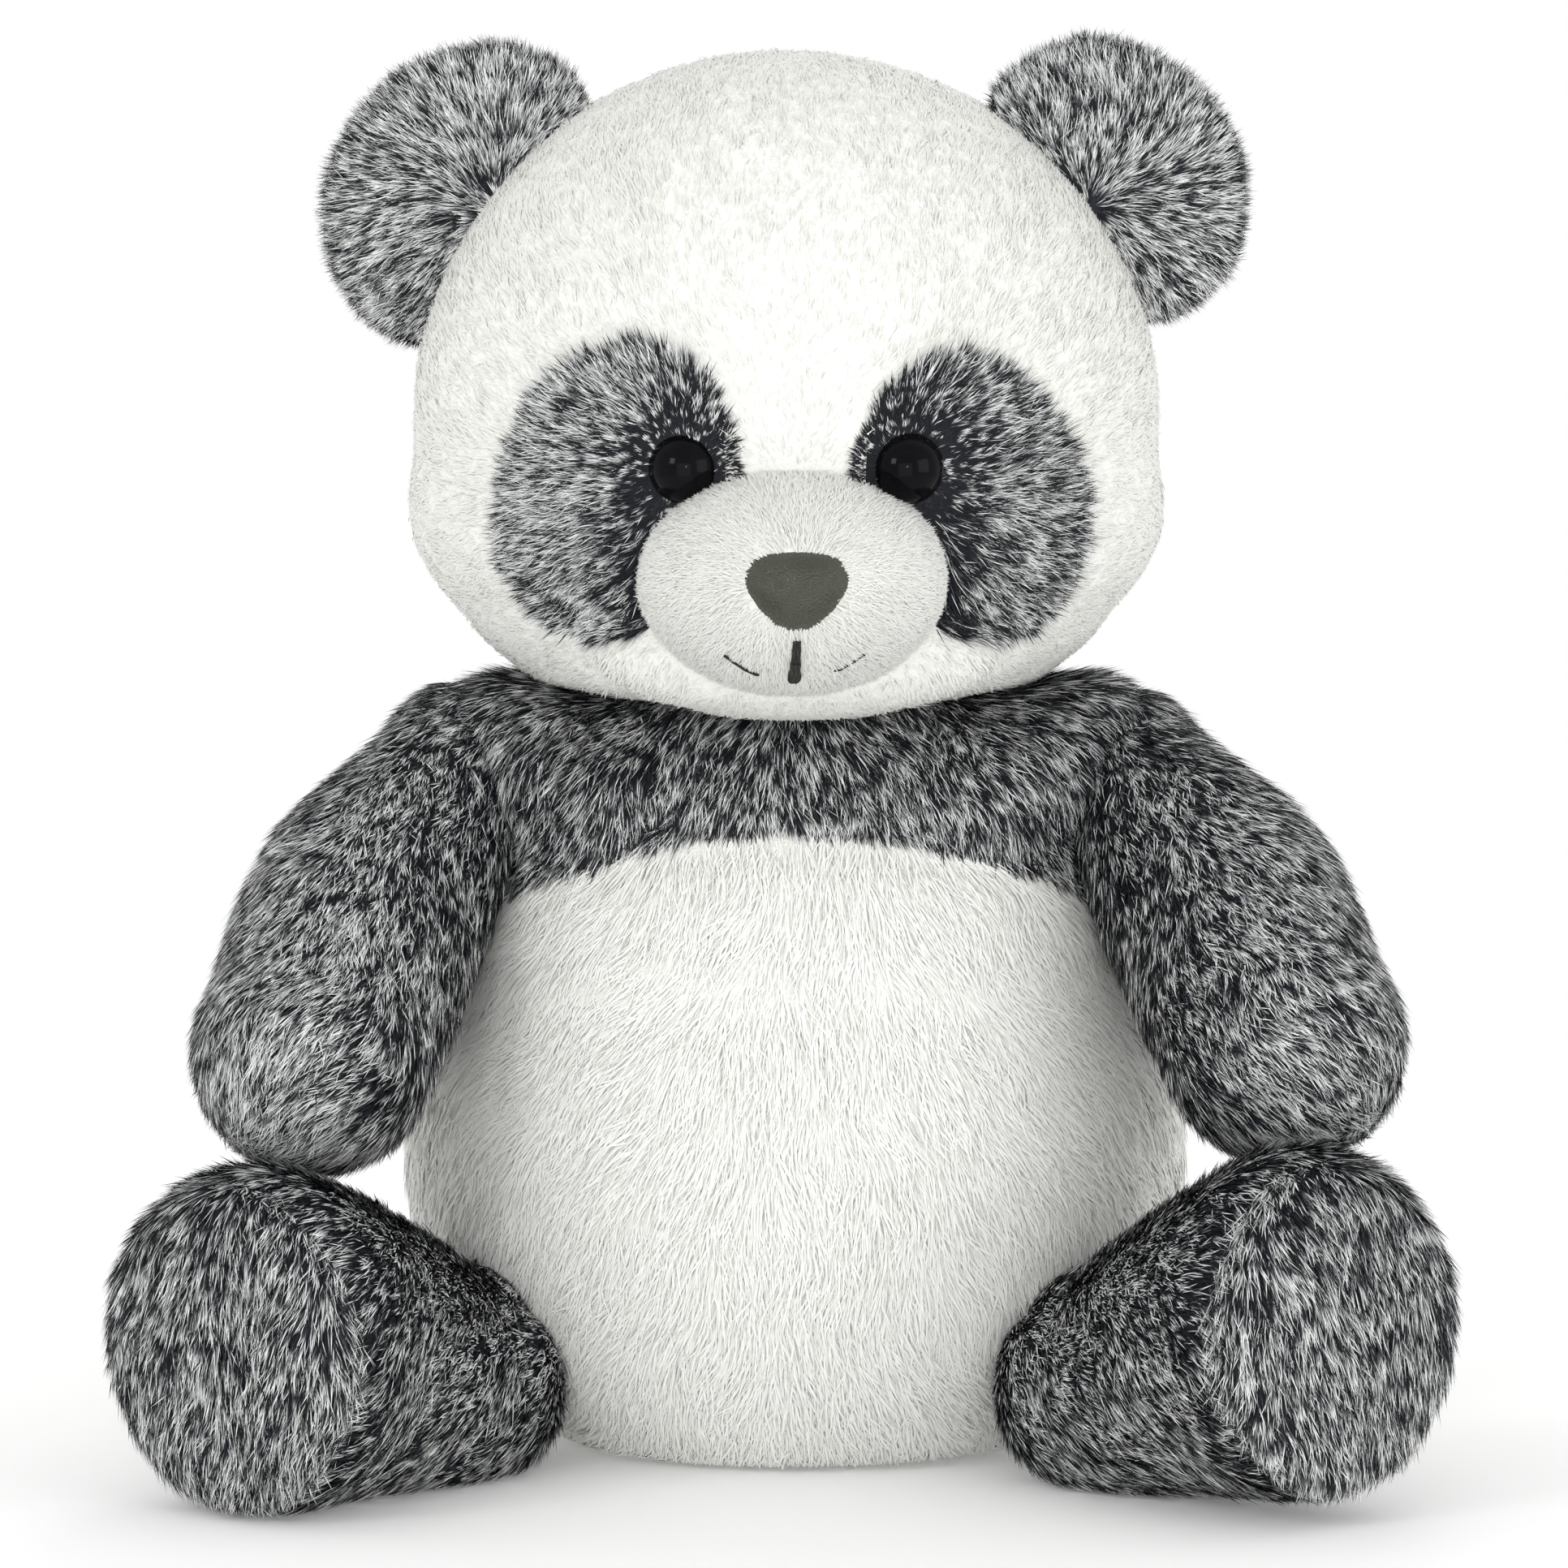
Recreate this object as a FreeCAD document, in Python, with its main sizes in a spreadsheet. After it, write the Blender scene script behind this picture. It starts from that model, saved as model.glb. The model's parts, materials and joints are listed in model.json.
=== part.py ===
"""Seated plush panda, in millimetres.

The panda sits on the plane z = 0 and faces -Y; +X is the viewer's right.
The origin is the centre of the flat seat.  Each form of the toy (head, muzzle,
trunk, arms, legs, ears, tail) is an outer solid and an inner solid: the fabric
panels are cut from the shell between them, and the filling is the inner solid.
"""
import FreeCAD, Part
import math
import os
import Sketcher

doc = FreeCAD.newDocument("plush_panda")
sheet = doc.addObject("Spreadsheet::Sheet", "sizes")

SIZES = {
    # fabric and fits
    "skin": 1.6,                   # thickness of the knitted backing
    "seam_gap": 0.5,               # air between two bodies that move
    "thread": 0.9,                 # embroidery thread, laid proud of the fabric
    # trunk
    "belly_half_width": 67,
    "belly_half_depth": 56,
    "belly_half_tall": 62,
    "belly_level": 50,             # height of the belly's centre above the seat
    "chest_half_width": 47,
    "chest_half_depth": 40,
    "chest_half_tall": 60,
    "chest_level": 84,
    "neck_level": 132,             # top of the trunk, where the head sits
    "neck_plug_radius": 16,
    "neck_plug_depth": 10,
    "seat_rim": 13,                # height of the seam round the seat panel
    "yoke_arch_radius": 95,        # arched seam between the yoke and the belly
    "yoke_crest": 109,             # height of that seam on the centre line
    "bean_bag_half_width": 30,
    "bean_bag_half_depth": 24,
    "bean_bag_half_tall": 11,
    "bean_bag_level": 19,
    # head
    "head_half_width": 62,
    "head_half_depth": 54,
    "head_half_tall": 62,
    "head_rise": 45.5,             # head centre above the neck
    "cheek_half_width": 62.5,
    "cheek_half_depth": 50,
    "cheek_half_tall": 33,
    "cheek_rise": 29.5,
    "gusset_half_width": 17,       # strip that runs over the crown
    "patch_half_width": 19.5,
    "patch_half_tall": 24.5,
    "patch_side": 30,              # patch centre from the centre line
    "patch_drop": 11.5,               # patch centre below the head centre
    "patch_forward": 40.5,
    "patch_lean": 18,
    # muzzle and face
    "muzzle_half_width": 23.5,
    "muzzle_half_depth": 24,
    "muzzle_half_tall": 16.5,
    "muzzle_drop": 25.3,           # muzzle centre below the head centre
    "muzzle_forward": 47,
    "eye_radius": 6.2,
    "eye_sunk": 1.6,               # sphere centre behind the fabric
    "eye_side": 18.8,
    "eye_drop": 6.4,
    "shank_radius": 1.6,
    "shank_length": 13,
    "washer_radius": 7.5,
    "washer_thick": 1.6,
    "eye_washer_seat": 1.8,        # from the fabric's inner face to the washer
    "nose_washer_seat": 7.2,
    "nose_width": 17,
    "nose_tall": 12,
    "nose_depth": 5.5,
    "nose_corner": 3.6,
    "nose_edge": 2.2,
    "nose_rise": 1.5,              # nose centre above the muzzle centre
    "mouth_length": 6.5,
    "mouth_drop": 3.2,             # top of the mouth stitch below the nose
    "smile_length": 7,
    "smile_side": 8.75,            # middle of a smile stitch from the centre line
    "smile_drop": 5.2,             # and below the top of the mouth stitch
    "smile_lift": 14,
    # ears
    "ear_half_width": 20.5,
    "ear_half_thick": 6.6,
    "ear_half_tall": 20.5,
    "ear_rise": 8.5,                # ear centre above its seam
    "ear_root_radius": 5.9,
    "ear_root_length": 26,
    "ear_angle": 35,               # up from the head's widest level
    # arms
    "shoulder_radius": 18.5,
    "hand_radius": 19,
    "arm_length": 68,              # shoulder centre to hand centre
    "shoulder_stand_off": 6.5,       # shoulder centre outside the chest's half width
    "left_arm_spread": 23.5,
    "right_arm_spread": 24,
    "hand_rest_gap": 2.4,          # under the hand, above the leg
    # legs
    "hip_radius": 19,
    "foot_radius": 28.5,
    "leg_length": 66,              # hip centre to the face of the sole
    "sole_edge": 9,               # rounded rim of the foot
    "foot_straight": 6,            # full-width stretch behind that rim
    "sole_depth": 9,
    "left_hip_turn": 31.3,         # place of the hip round the belly, from the side
    "right_hip_turn": 41,
    "left_leg_splay": 40,
    "right_leg_splay": 42,
    "left_leg_lift": 0,            # rise of the sole, in degrees; the right heel rests and its toe is raised
    "right_leg_lift": 4,
    "foot_bag_radius": 12,
    # small pieces at the back
    "tail_radius": 13,
    "tail_level": 24,
    "label_width": 12,
    "label_reach": 16,
    "label_thick": 0.8,
    "label_side": 24,
    "label_level": 30,
    "stitch_length": 8,
    "stitch_pitch": 5,
}
stitchCount = 6
hipSteps = (-8, 0, 6)              # degrees of splay, through the hip's travel
start, end, centre = 1, 2, 3       # Sketcher's numbers for the points of an edge

for line, (alias, value) in enumerate(SIZES.items(), start=1):
    sheet.set(f"A{line}", alias)
    sheet.set(f"B{line}", str(value))
    sheet.setAlias(f"B{line}", alias)

# values that several pieces share, worked out from the sizes above
DERIVED = {
    "head_level": "neck_level + seam_gap + head_rise",
    "cheek_level": "neck_level + seam_gap + cheek_rise",
    "muzzle_level": "head_level - muzzle_drop",
    "eye_level": "head_level - eye_drop",
    "eye_depth": "head_half_depth * sqrt(1 - (eye_side / head_half_width)^2 - (eye_drop / head_half_tall)^2)",
    "eye_turn": "atan((eye_side / head_half_width^2) / (eye_depth / head_half_depth^2))",
    "nose_tip_forward": "muzzle_forward + muzzle_half_depth * sqrt(1 - (nose_rise / muzzle_half_tall)^2)",
    "nose_top_forward": "muzzle_forward + muzzle_half_depth"
                        " * sqrt(1 - ((nose_rise + nose_tall / 2) / muzzle_half_tall)^2)",
    "ear_side": "head_half_width * cos(ear_angle)",
    "ear_level": "head_level + head_half_tall * sin(ear_angle)",
    "shoulder_side": "chest_half_width + shoulder_stand_off",
    "shoulder_level": "neck_level - shoulder_radius",
    "hip_level": "foot_radius",
    "thigh_length": "leg_length - sole_edge - foot_straight",
    "hip_ring": "sqrt(1 - ((belly_level - hip_level) / belly_half_tall)^2)",
    "leg_top": "hip_level + (hip_radius + foot_radius) / 2",
    "back_depth": "belly_half_depth * sqrt(1 - ((belly_level - tail_level) / belly_half_tall)^2)",
}
for side in ("left", "right"):
    DERIVED[f"{side}_hip_side"] = f"belly_half_width * hip_ring * cos({side}_hip_turn)"
    DERIVED[f"{side}_hip_forward"] = f"belly_half_depth * hip_ring * sin({side}_hip_turn)"
    DERIVED[f"{side}_hand_level"] = (f"leg_top + leg_length / 2 * sin({side}_leg_lift)"
                                     " + hand_rest_gap + hand_radius")
    DERIVED[f"{side}_arm_drop"] = f"shoulder_level - {side}_hand_level"
for line, (alias, formula) in enumerate(DERIVED.items(), start=len(SIZES) + 1):
    sheet.set(f"A{line}", alias)
    sheet.set(f"B{line}", "=" + formula)
    sheet.setAlias(f"B{line}", alias)
doc.recompute()

parts = {}                         # node name -> document object


def bind(thing, **expressions):
    for prop, expression in expressions.items():
        thing.setExpression(prop, expression)
    return thing


def put(thing, side="0", forward="0", level="0", turn=None):
    """Bind a form's place; forward is measured along -Y."""
    rotation = turn or "rotation(vector(0; 0; 1); 0)"
    place = f"placement(vector({side}; -({forward}); {level}); {rotation})"
    thing.setExpression("Placement", place)
    return thing


def about(axis, angle):
    vector = {"x": "1; 0; 0", "y": "0; 1; 0", "z": "0; 0; 1"}[axis]
    return f"rotation(vector({vector}); {angle})"


def ellipsoid(name, halfWidth, halfDepth, halfTall, less="0", **place):
    form = doc.addObject("Part::Ellipsoid", name)
    bind(form, Radius1=f"{halfTall} - {less}", Radius2=f"{halfWidth} - {less}",
         Radius3=f"{halfDepth} - {less}")
    return put(form, **place)


def cylinder(name, radius, length, **place):
    form = doc.addObject("Part::Cylinder", name)
    bind(form, Radius=radius, Height=length)
    return put(form, **place)


def block(name, width, depth, tall, side="0", forward="0", level="0", turn=None):
    """A box centred on its place across X and Y, standing on level."""
    box = doc.addObject("Part::Box", name)
    bind(box, Length=width, Width=depth, Height=tall)
    corner = f"vector(-({width}) / 2; -({depth}) / 2; 0)"
    rotation = turn or "rotation(vector(0; 0; 1); 0)"
    place = f"placement(vector({side}; -({forward}); {level}); {rotation})"
    box.setExpression("Placement", f"{place} * placement({corner}; rotation(vector(0; 0; 1); 0))")
    return box


def cut(name, base, tool):
    thing = doc.addObject("Part::Cut", name)
    thing.Base = base
    thing.Tool = tool
    return thing


def fuse(name, *shapes):
    thing = doc.addObject("Part::MultiFuse", name)
    thing.Shapes = list(shapes)
    return thing


def common(name, *shapes):
    thing = doc.addObject("Part::MultiCommon", name)
    thing.Shapes = list(shapes)
    return thing


def copyOf(name, form):
    """The same solid again, so that it can be placed on its own."""
    return common(name, form, everywhere)


def keep(node, thing):
    """Mark a document object as the sub-part that is written as node.step."""
    thing.Label = node
    parts[node] = thing
    return thing


far = "600"                        # longer than the toy, for blocks that halve a form
deep = "200"                       # through one side of the toy, for bars that pick out a stitch
frontHalf = block("front_half", far, far, far, forward=f"{far} / 2", level="-200")
backHalf = block("back_half", far, far, far, forward=f"-{far} / 2", level="-200")
leftHalf = block("left_half", far, far, far, side=f"-{far} / 2", level="-200")
rightHalf = block("right_half", far, far, far, side=f"{far} / 2", level="-200")
everywhere = block("everywhere", far, far, far, level=f"-{far} / 2")
halves = {"left": leftHalf, "right": rightHalf}
sides = {"left": "-1", "right": "1"}


# ---- limbs, each built about its own joint centre ---------------------------
def limbForm(name, rootRadius, endRadius, length, less):
    """Round root at the joint centre and a cone from it along -Z."""
    root = doc.addObject("Part::Sphere", name + "_root")
    bind(root, Radius=f"{rootRadius} - {less}")
    cone = doc.addObject("Part::Cone", name + "_cone")
    bind(cone, Radius1=f"{endRadius} - {less}", Radius2=f"{rootRadius} - {less}", Height=length)
    put(cone, level=f"-({length})")
    return root, cone


def sketchBody(name):
    """A body with one empty sketch on its XZ plane."""
    body = doc.addObject("PartDesign::Body", name)
    sketch = body.newObject("Sketcher::SketchObject", name + "_profile")
    sketch.AttachmentSupport = [(next(f for f in body.Origin.OriginFeatures if f.Role == "XZ_Plane"), "")]
    sketch.MapMode = "FlatFace"
    doc.recompute()
    return body, sketch


def hold(sketch, kind, *places, value, size):
    """Add a dimension whose size follows the sheet; value only starts the solver off."""
    number = sketch.addConstraint(Sketcher.Constraint(kind, *places, value))
    sketch.setExpression(f"Constraints[{number}]", size)


def footForm(name, less):
    """Straight foot with a rounded rim and a flat sole, turned about the leg's axis."""
    body, sketch = sketchBody(name)
    outline = [(0, -48), (26, -48), (26, -54), (16, -64), (0, -64)]
    points = [FreeCAD.Vector(across, level, 0) for across, level in outline]
    top, side, sole, axis, rim = range(5)
    for here, there in ((0, 1), (1, 2), (3, 4), (4, 0)):
        sketch.addGeometry(Part.LineSegment(points[here], points[there]), False)
    circle = Part.Circle(FreeCAD.Vector(16, -54, 0), FreeCAD.Vector(0, 0, 1), 10)
    sketch.addGeometry(Part.ArcOfCircle(circle, -math.pi / 2, 0), False)
    for constraint in (("Coincident", top, end, side, start), ("Tangent", side, end, rim, end),
                       ("Tangent", rim, start, sole, start), ("Coincident", sole, end, axis, start),
                       ("Coincident", axis, end, top, start), ("Horizontal", top), ("Vertical", side),
                       ("Horizontal", sole), ("PointOnObject", top, start, -2), ("PointOnObject", sole, end, -2)):
        sketch.addConstraint(Sketcher.Constraint(*constraint))
    hold(sketch, "DistanceX", top, start, top, end, value=26, size=f"sizes.foot_radius - {less}")
    hold(sketch, "DistanceY", top, end, -1, 1, value=48, size="sizes.thigh_length")
    hold(sketch, "DistanceY", side, end, side, start, value=6, size="sizes.foot_straight")
    hold(sketch, "Radius", rim, value=10, size=f"sizes.sole_edge - {less}")
    turned = body.newObject("PartDesign::Revolution", name + "_turned")
    turned.Profile = sketch
    turned.ReferenceAxis = (sketch, ["V_Axis"])
    turned.Angle = 360
    return body


def armForm(name, less):
    """Arm hanging from the shoulder centre, with a round hand."""
    root, sleeve = limbForm(name, "sizes.shoulder_radius", "sizes.hand_radius", "sizes.arm_length", less)
    hand = doc.addObject("Part::Sphere", name + "_hand")
    bind(hand, Radius=f"sizes.hand_radius - {less}")
    put(hand, level="-sizes.arm_length")
    return fuse(name, root, sleeve, hand)


def legForm(name, less):
    """Leg pointing down -Z: round hip, widening thigh, straight foot, rounded rim of the sole."""
    root, thigh = limbForm(name, "sizes.hip_radius", "sizes.foot_radius", "sizes.thigh_length", less)
    return fuse(name, root, thigh, footForm(name + "_foot", less))


def earForm(name, less):
    """Ear disc rising along +Z from its seam, with a round root along X."""
    disc = ellipsoid(name + "_disc", "sizes.ear_half_width", "sizes.ear_half_thick",
                     "sizes.ear_half_tall", less, level="sizes.ear_rise")
    above = block(name + "_above", far, far, far)
    root = cylinder(name + "_root", f"sizes.ear_root_radius - {less}", f"sizes.ear_root_length - 2 * {less}",
                    side=f"-sizes.ear_root_length / 2 + {less}", turn=about("y", "90"))
    return fuse(name, common(name + "_blade", disc, above), root)


skin = "sizes.skin"
armOuter = armForm("arm_outer", "0")
armInner = armForm("arm_inner", skin)
armShell = cut("arm_shell", armOuter, armInner)
legOuter = legForm("leg_outer", "0")
legInner = legForm("leg_inner", skin)
legShell = cut("leg_shell", legOuter, legInner)
earOuter = earForm("ear_outer", "0")
earInner = earForm("ear_inner", skin)
earShell = cut("ear_shell", earOuter, earInner)


def hipPlace(side, sign, step):
    """Place of a leg, turned a number of degrees outward from rest."""
    splay = about("z", f"{sign} * (sizes.{side}_leg_splay + {step})")
    return dict(side=f"{sign} * sizes.{side}_hip_side", forward=f"sizes.{side}_hip_forward",
                level="sizes.hip_level", turn=f"{splay} * {about('x', f'-90 - sizes.{side}_leg_lift')}")


armPlace = {}
legPlace = {}
earPlace = {}
for side, sign in sides.items():
    spread = f"sizes.{side}_arm_spread"
    swing = f"acos(min(1; sizes.{side}_arm_drop / (sizes.arm_length * cos({spread}))))"
    armPlace[side] = dict(side=f"{sign} * sizes.shoulder_side", level="sizes.shoulder_level",
                          turn=f"{about('x', '-' + swing)} * {about('y', f'-({sign}) * {spread}')}")
    legPlace[side] = hipPlace(side, sign, 0)
    earPlace[side] = dict(side=f"{sign} * sizes.ear_side", level="sizes.ear_level",
                          turn=about("y", f"{sign} * (90 - sizes.ear_angle)"))


def armPanels(side):
    other = "right" if side == "left" else "left"
    outer = common(side + "_arm_outer_half", armShell, halves[side])
    inner = common(side + "_arm_inner_half", armShell, halves[other])
    filling = copyOf(side + "_arm_filling", armInner)
    for node, thing in (("arm_outer_panel", outer), ("arm_inner_panel", inner), ("arm_stuffing", filling)):
        keep(f"{side}_{node}", put(thing, **armPlace[side]))


def legPanels(side):
    soleSlab = block(side + "_sole_slab", far, far, far, level=f"-sizes.leg_length + sizes.sole_depth - {far}")
    tube = cut(side + "_leg_tube", legShell, soleSlab)
    bag = doc.addObject("Part::Sphere", side + "_bag_form")
    bind(bag, Radius="sizes.foot_bag_radius")
    put(bag, level="-sizes.leg_length + sizes.foot_radius")
    pieces = {
        "sole_panel": common(side + "_sole", legShell, soleSlab),
        "leg_upper_panel": common(side + "_leg_upper", tube, frontHalf),
        "leg_under_panel": common(side + "_leg_under", tube, backHalf),
        "leg_stuffing": cut(side + "_leg_filling", legInner, bag),
        "foot_bean_bag": copyOf(side + "_foot_bag", bag),
    }
    for node, thing in pieces.items():
        keep(f"{side}_{node}", put(thing, **legPlace[side]))


def earPanels(side):
    pieces = {
        "ear_front_panel": common(side + "_ear_front", earShell, frontHalf),
        "ear_back_panel": common(side + "_ear_back", earShell, backHalf),
        "ear_wadding": copyOf(side + "_ear_filling", earInner),
    }
    for node, thing in pieces.items():
        keep(f"{side}_{node}", put(thing, **earPlace[side]))


for side in sides:
    armPanels(side)
    legPanels(side)
    earPanels(side)
print("limbs and ears built")


# ---- trunk ------------------------------------------------------------------
def limbHollows(name, less):
    """The room that the arms and legs need in the trunk: the arms at rest, the legs through their travel."""
    grown = f"(0 - sizes.seam_gap - {less})"
    arm = armForm(name + "_arm", grown)
    leg = fuse(name + "_leg", *limbForm(name + "_leg", "sizes.hip_radius", "sizes.foot_radius",
                                        "sizes.thigh_length", grown))
    hollows = []
    for side, sign in sides.items():
        hollows.append(put(copyOf(f"{name}_{side}_arm", arm), **armPlace[side]))
        for count, step in enumerate(hipSteps):
            hollows.append(put(copyOf(f"{name}_{side}_leg_{count}", leg), **hipPlace(side, sign, step)))
    return fuse(name, *hollows)


def trunkForm(name, less):
    belly = ellipsoid(name + "_belly", "sizes.belly_half_width", "sizes.belly_half_depth",
                      "sizes.belly_half_tall", less, level="sizes.belly_level")
    chest = ellipsoid(name + "_chest", "sizes.chest_half_width", "sizes.chest_half_depth",
                      "sizes.chest_half_tall", less, level="sizes.chest_level")
    room = block(name + "_room", far, far, f"sizes.neck_level - 2 * {less}", level=less)
    return common(name, fuse(name + "_full", belly, chest), room)


trunkFull = trunkForm("trunk_full", "0")
trunkOuter = cut("trunk_outer", trunkFull, limbHollows("outer_hollows", "0"))
trunkInner = cut("trunk_inner", trunkForm("trunk_core", skin), limbHollows("inner_hollows", skin))
plugHole = cylinder("plug_hole", "sizes.neck_plug_radius + sizes.seam_gap",
                    "sizes.neck_plug_depth + sizes.seam_gap",
                    level="sizes.neck_level - sizes.neck_plug_depth - sizes.seam_gap")
trunkShell = cut("trunk_shell", cut("trunk_closed_shell", trunkOuter, trunkInner), plugHole)
beanBag = ellipsoid("bean_bag_form", "sizes.bean_bag_half_width", "sizes.bean_bag_half_depth",
                    "sizes.bean_bag_half_tall", level="sizes.bean_bag_level")
keep("torso_stuffing", cut("trunk_filling", trunkInner, fuse("trunk_pockets", plugHole, beanBag)))
keep("torso_bean_bag", beanBag)

seatSlab = block("seat_slab", far, far, "sizes.seat_rim")
arch = cylinder("yoke_arch", "sizes.yoke_arch_radius", far, forward=f"-{far} / 2",
                level="sizes.yoke_crest - sizes.yoke_arch_radius", turn=about("x", "90"))
bodyShell = cut("body_shell", trunkShell, seatSlab)
lowerShell = common("lower_shell", bodyShell, arch)
upperShell = cut("upper_shell", bodyShell, arch)
keep("seat_panel", common("seat", trunkShell, seatSlab))
keep("belly_panel", common("belly", lowerShell, frontHalf))
keep("chest_yoke_panel", common("chest_yoke", upperShell, frontHalf))
keep("back_yoke_panel", common("back_yoke", upperShell, backHalf))
for side in sides:
    keep(f"{side}_back_panel", common(f"{side}_back", lowerShell, backHalf, halves[side]))

# the back seam is closed by hand: a row of short stitches across the centre line
trunkProud = trunkForm("trunk_proud", "-sizes.thread")
threadLayer = cut("trunk_thread_layer", trunkProud, trunkFull)
bars = [block(f"stitch_bar_{count}", "sizes.stitch_length", deep, "sizes.thread",
              forward=f"-{deep} / 2", level=f"sizes.belly_level + {count} * sizes.stitch_pitch")
        for count in range(stitchCount)]
keep("closing_stitches", common("closing_stitch_row", threadLayer, fuse("stitch_bars", *bars)))

tailPlace = dict(forward="-sizes.back_depth", level="sizes.tail_level")
tailOuter = doc.addObject("Part::Sphere", "tail_outer")
put(bind(tailOuter, Radius="sizes.tail_radius"), **tailPlace)
tailInner = doc.addObject("Part::Sphere", "tail_inner")
put(bind(tailInner, Radius="sizes.tail_radius - sizes.skin"), **tailPlace)
keep("tail_skin", cut("tail_shell", cut("tail_ball_shell", tailOuter, tailInner), trunkFull))
keep("tail_wadding", cut("tail_filling", tailInner, trunkFull))
label = block("label_form", "sizes.label_thick", "2 * sizes.label_reach", "sizes.label_width",
              side="-sizes.label_side", level="sizes.label_level",
              forward="-sizes.belly_half_depth * sqrt(1 - (sizes.label_side / sizes.belly_half_width)^2"
                      " - ((sizes.belly_level - sizes.label_level) / sizes.belly_half_tall)^2)")
keep("care_label", cut("label_tab", label, trunkFull))
print("trunk built")


# ---- head -------------------------------------------------------------------
def headForm(name, less):
    skull = ellipsoid(name + "_skull", "sizes.head_half_width", "sizes.head_half_depth",
                      "sizes.head_half_tall", less, level="sizes.head_level")
    cheeks = ellipsoid(name + "_cheeks", "sizes.cheek_half_width", "sizes.cheek_half_depth",
                       "sizes.cheek_half_tall", less, level="sizes.cheek_level")
    aboveNeck = block(name + "_above_neck", far, far, far, level=f"sizes.neck_level + sizes.seam_gap + {less}")
    return common(name, fuse(name + "_full", skull, cheeks), aboveNeck)


def muzzleForm(name, less):
    return ellipsoid(name, "sizes.muzzle_half_width", "sizes.muzzle_half_depth", "sizes.muzzle_half_tall",
                     less, forward="sizes.muzzle_forward", level="sizes.muzzle_level")


headOuter = headForm("head_outer", "0")
headInner = headForm("head_inner", skin)
muzzleOuter = muzzleForm("muzzle_outer", "0")
muzzleInner = muzzleForm("muzzle_inner", skin)
neckPlug = cylinder("neck_plug", "sizes.neck_plug_radius",
                    "sizes.neck_plug_depth + sizes.seam_gap + 2 * sizes.skin",
                    level="sizes.neck_level - sizes.neck_plug_depth")
earGrooves = []
for side in sides:
    place = dict(earPlace[side])
    place["turn"] += " * " + about("y", "90")
    groove = cylinder(f"{side}_ear_groove", "sizes.ear_root_radius + sizes.seam_gap",
                      "sizes.ear_root_length + 2 * sizes.seam_gap")
    back = "placement(vector(0; 0; -sizes.ear_root_length / 2 - sizes.seam_gap); rotation(vector(0; 0; 1); 0))"
    groove.setExpression("Placement", f"placement(vector({place['side']}; 0; {place['level']}); "
                                      f"{place['turn']}) * {back}")
    earGrooves.append(groove)


# eyes and nose: moulded pieces whose shanks pass through the fabric to a washer
def washerForm(name, place):
    disc = cylinder(name + "_washer_disc", "sizes.washer_radius", "sizes.washer_thick")
    seat = f"sizes.skin + sizes.{name.split('_')[-1]}_washer_seat"
    lift = f"placement(vector(0; 0; {seat}); rotation(vector(0; 0; 1); 0))"
    disc.setExpression("Placement", f"placement(vector({place['side']}; -({place['forward']}); "
                                    f"{place['level']}); {place['turn']}) * {lift}")
    return disc


fixings = {"nose": dict(side="0", forward="sizes.nose_tip_forward + sizes.skin",
                        level="sizes.muzzle_level + sizes.nose_rise", turn=about("x", "-90"))}
for side, sign in sides.items():
    fixings[side + "_eye"] = dict(side=f"{sign} * sizes.eye_side", forward="sizes.eye_depth",
                                  level="sizes.eye_level",
                                  turn=f"{about('z', f'{sign} * sizes.eye_turn')} * {about('x', '-90')}")
pockets = []
for name, place in fixings.items():
    post = cylinder(name + "_shank", "sizes.shank_radius", "sizes.shank_length", **place)
    disc = washerForm(name, place)
    keep(name + "_washer", cut(name + "_washer_ring", disc, post))
    pockets.append(fuse(name + "_pocket", post, disc))
    fixings[name] = dict(place, post=post)

for side, sign in sides.items():
    name = side + "_eye"
    ball = doc.addObject("Part::Sphere", name + "_ball")
    bind(ball, Radius="sizes.eye_radius")
    inward = "placement(vector(0; 0; sizes.eye_sunk); rotation(vector(0; 0; 1); 0))"
    place = fixings[name]
    ball.setExpression("Placement", f"placement(vector({place['side']}; -({place['forward']}); "
                                    f"{place['level']}); {place['turn']}) * {inward}")
    dome = cut(name + "_dome", ball, headOuter)
    keep(name, fuse(name + "_moulding", dome, place["post"]))

# the nose is a triangle with rounded corners, wide at the top, its front edge rounded off
noseBody, noseSketch = sketchBody("nose_body")
flat = FreeCAD.Vector(0, 0, 1)
for centreX, centreZ, first, last in ((-5, 3, 90, 200), (0, -3, 200, 340), (5, 3, -20, 90)):
    middle = Part.Circle(FreeCAD.Vector(centreX, centreZ, 0), flat, 3)
    arc = Part.ArcOfCircle(middle, math.radians(first), math.radians(last))
    noseSketch.addGeometry(arc, False)
for count in range(3):
    here = noseSketch.Geometry[count].EndPoint
    there = noseSketch.Geometry[(count + 1) % 3].StartPoint
    noseSketch.addGeometry(Part.LineSegment(here, there), False)
for count in range(3):
    noseSketch.addConstraint(Sketcher.Constraint("Tangent", count, end, count + 3, start))
    noseSketch.addConstraint(Sketcher.Constraint("Tangent", count + 3, end, (count + 1) % 3, start))
cornerSide = "sizes.nose_width / 2 - sizes.nose_corner"
cornerRise = "sizes.nose_tall / 2 - sizes.nose_corner"
for count, (sideways, upward) in enumerate(((f"-({cornerSide})", cornerRise), ("0", f"-({cornerRise})"),
                                            (cornerSide, cornerRise))):
    hold(noseSketch, "DistanceX", -1, 1, count, centre, value=4, size=sideways)
    hold(noseSketch, "DistanceY", -1, 1, count, centre, value=2, size=upward)
    hold(noseSketch, "Radius", count, value=3, size="sizes.nose_corner")
nosePad = noseBody.newObject("PartDesign::Pad", "nose_pad")
nosePad.Profile = noseSketch
bind(nosePad, Length="sizes.nose_depth + 3")
nosePad.Midplane = False
doc.recompute()
noseRound = noseBody.newObject("PartDesign::Fillet", "nose_round")
frontY = min(edge.BoundBox.YMin for edge in nosePad.Shape.Edges)
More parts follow.
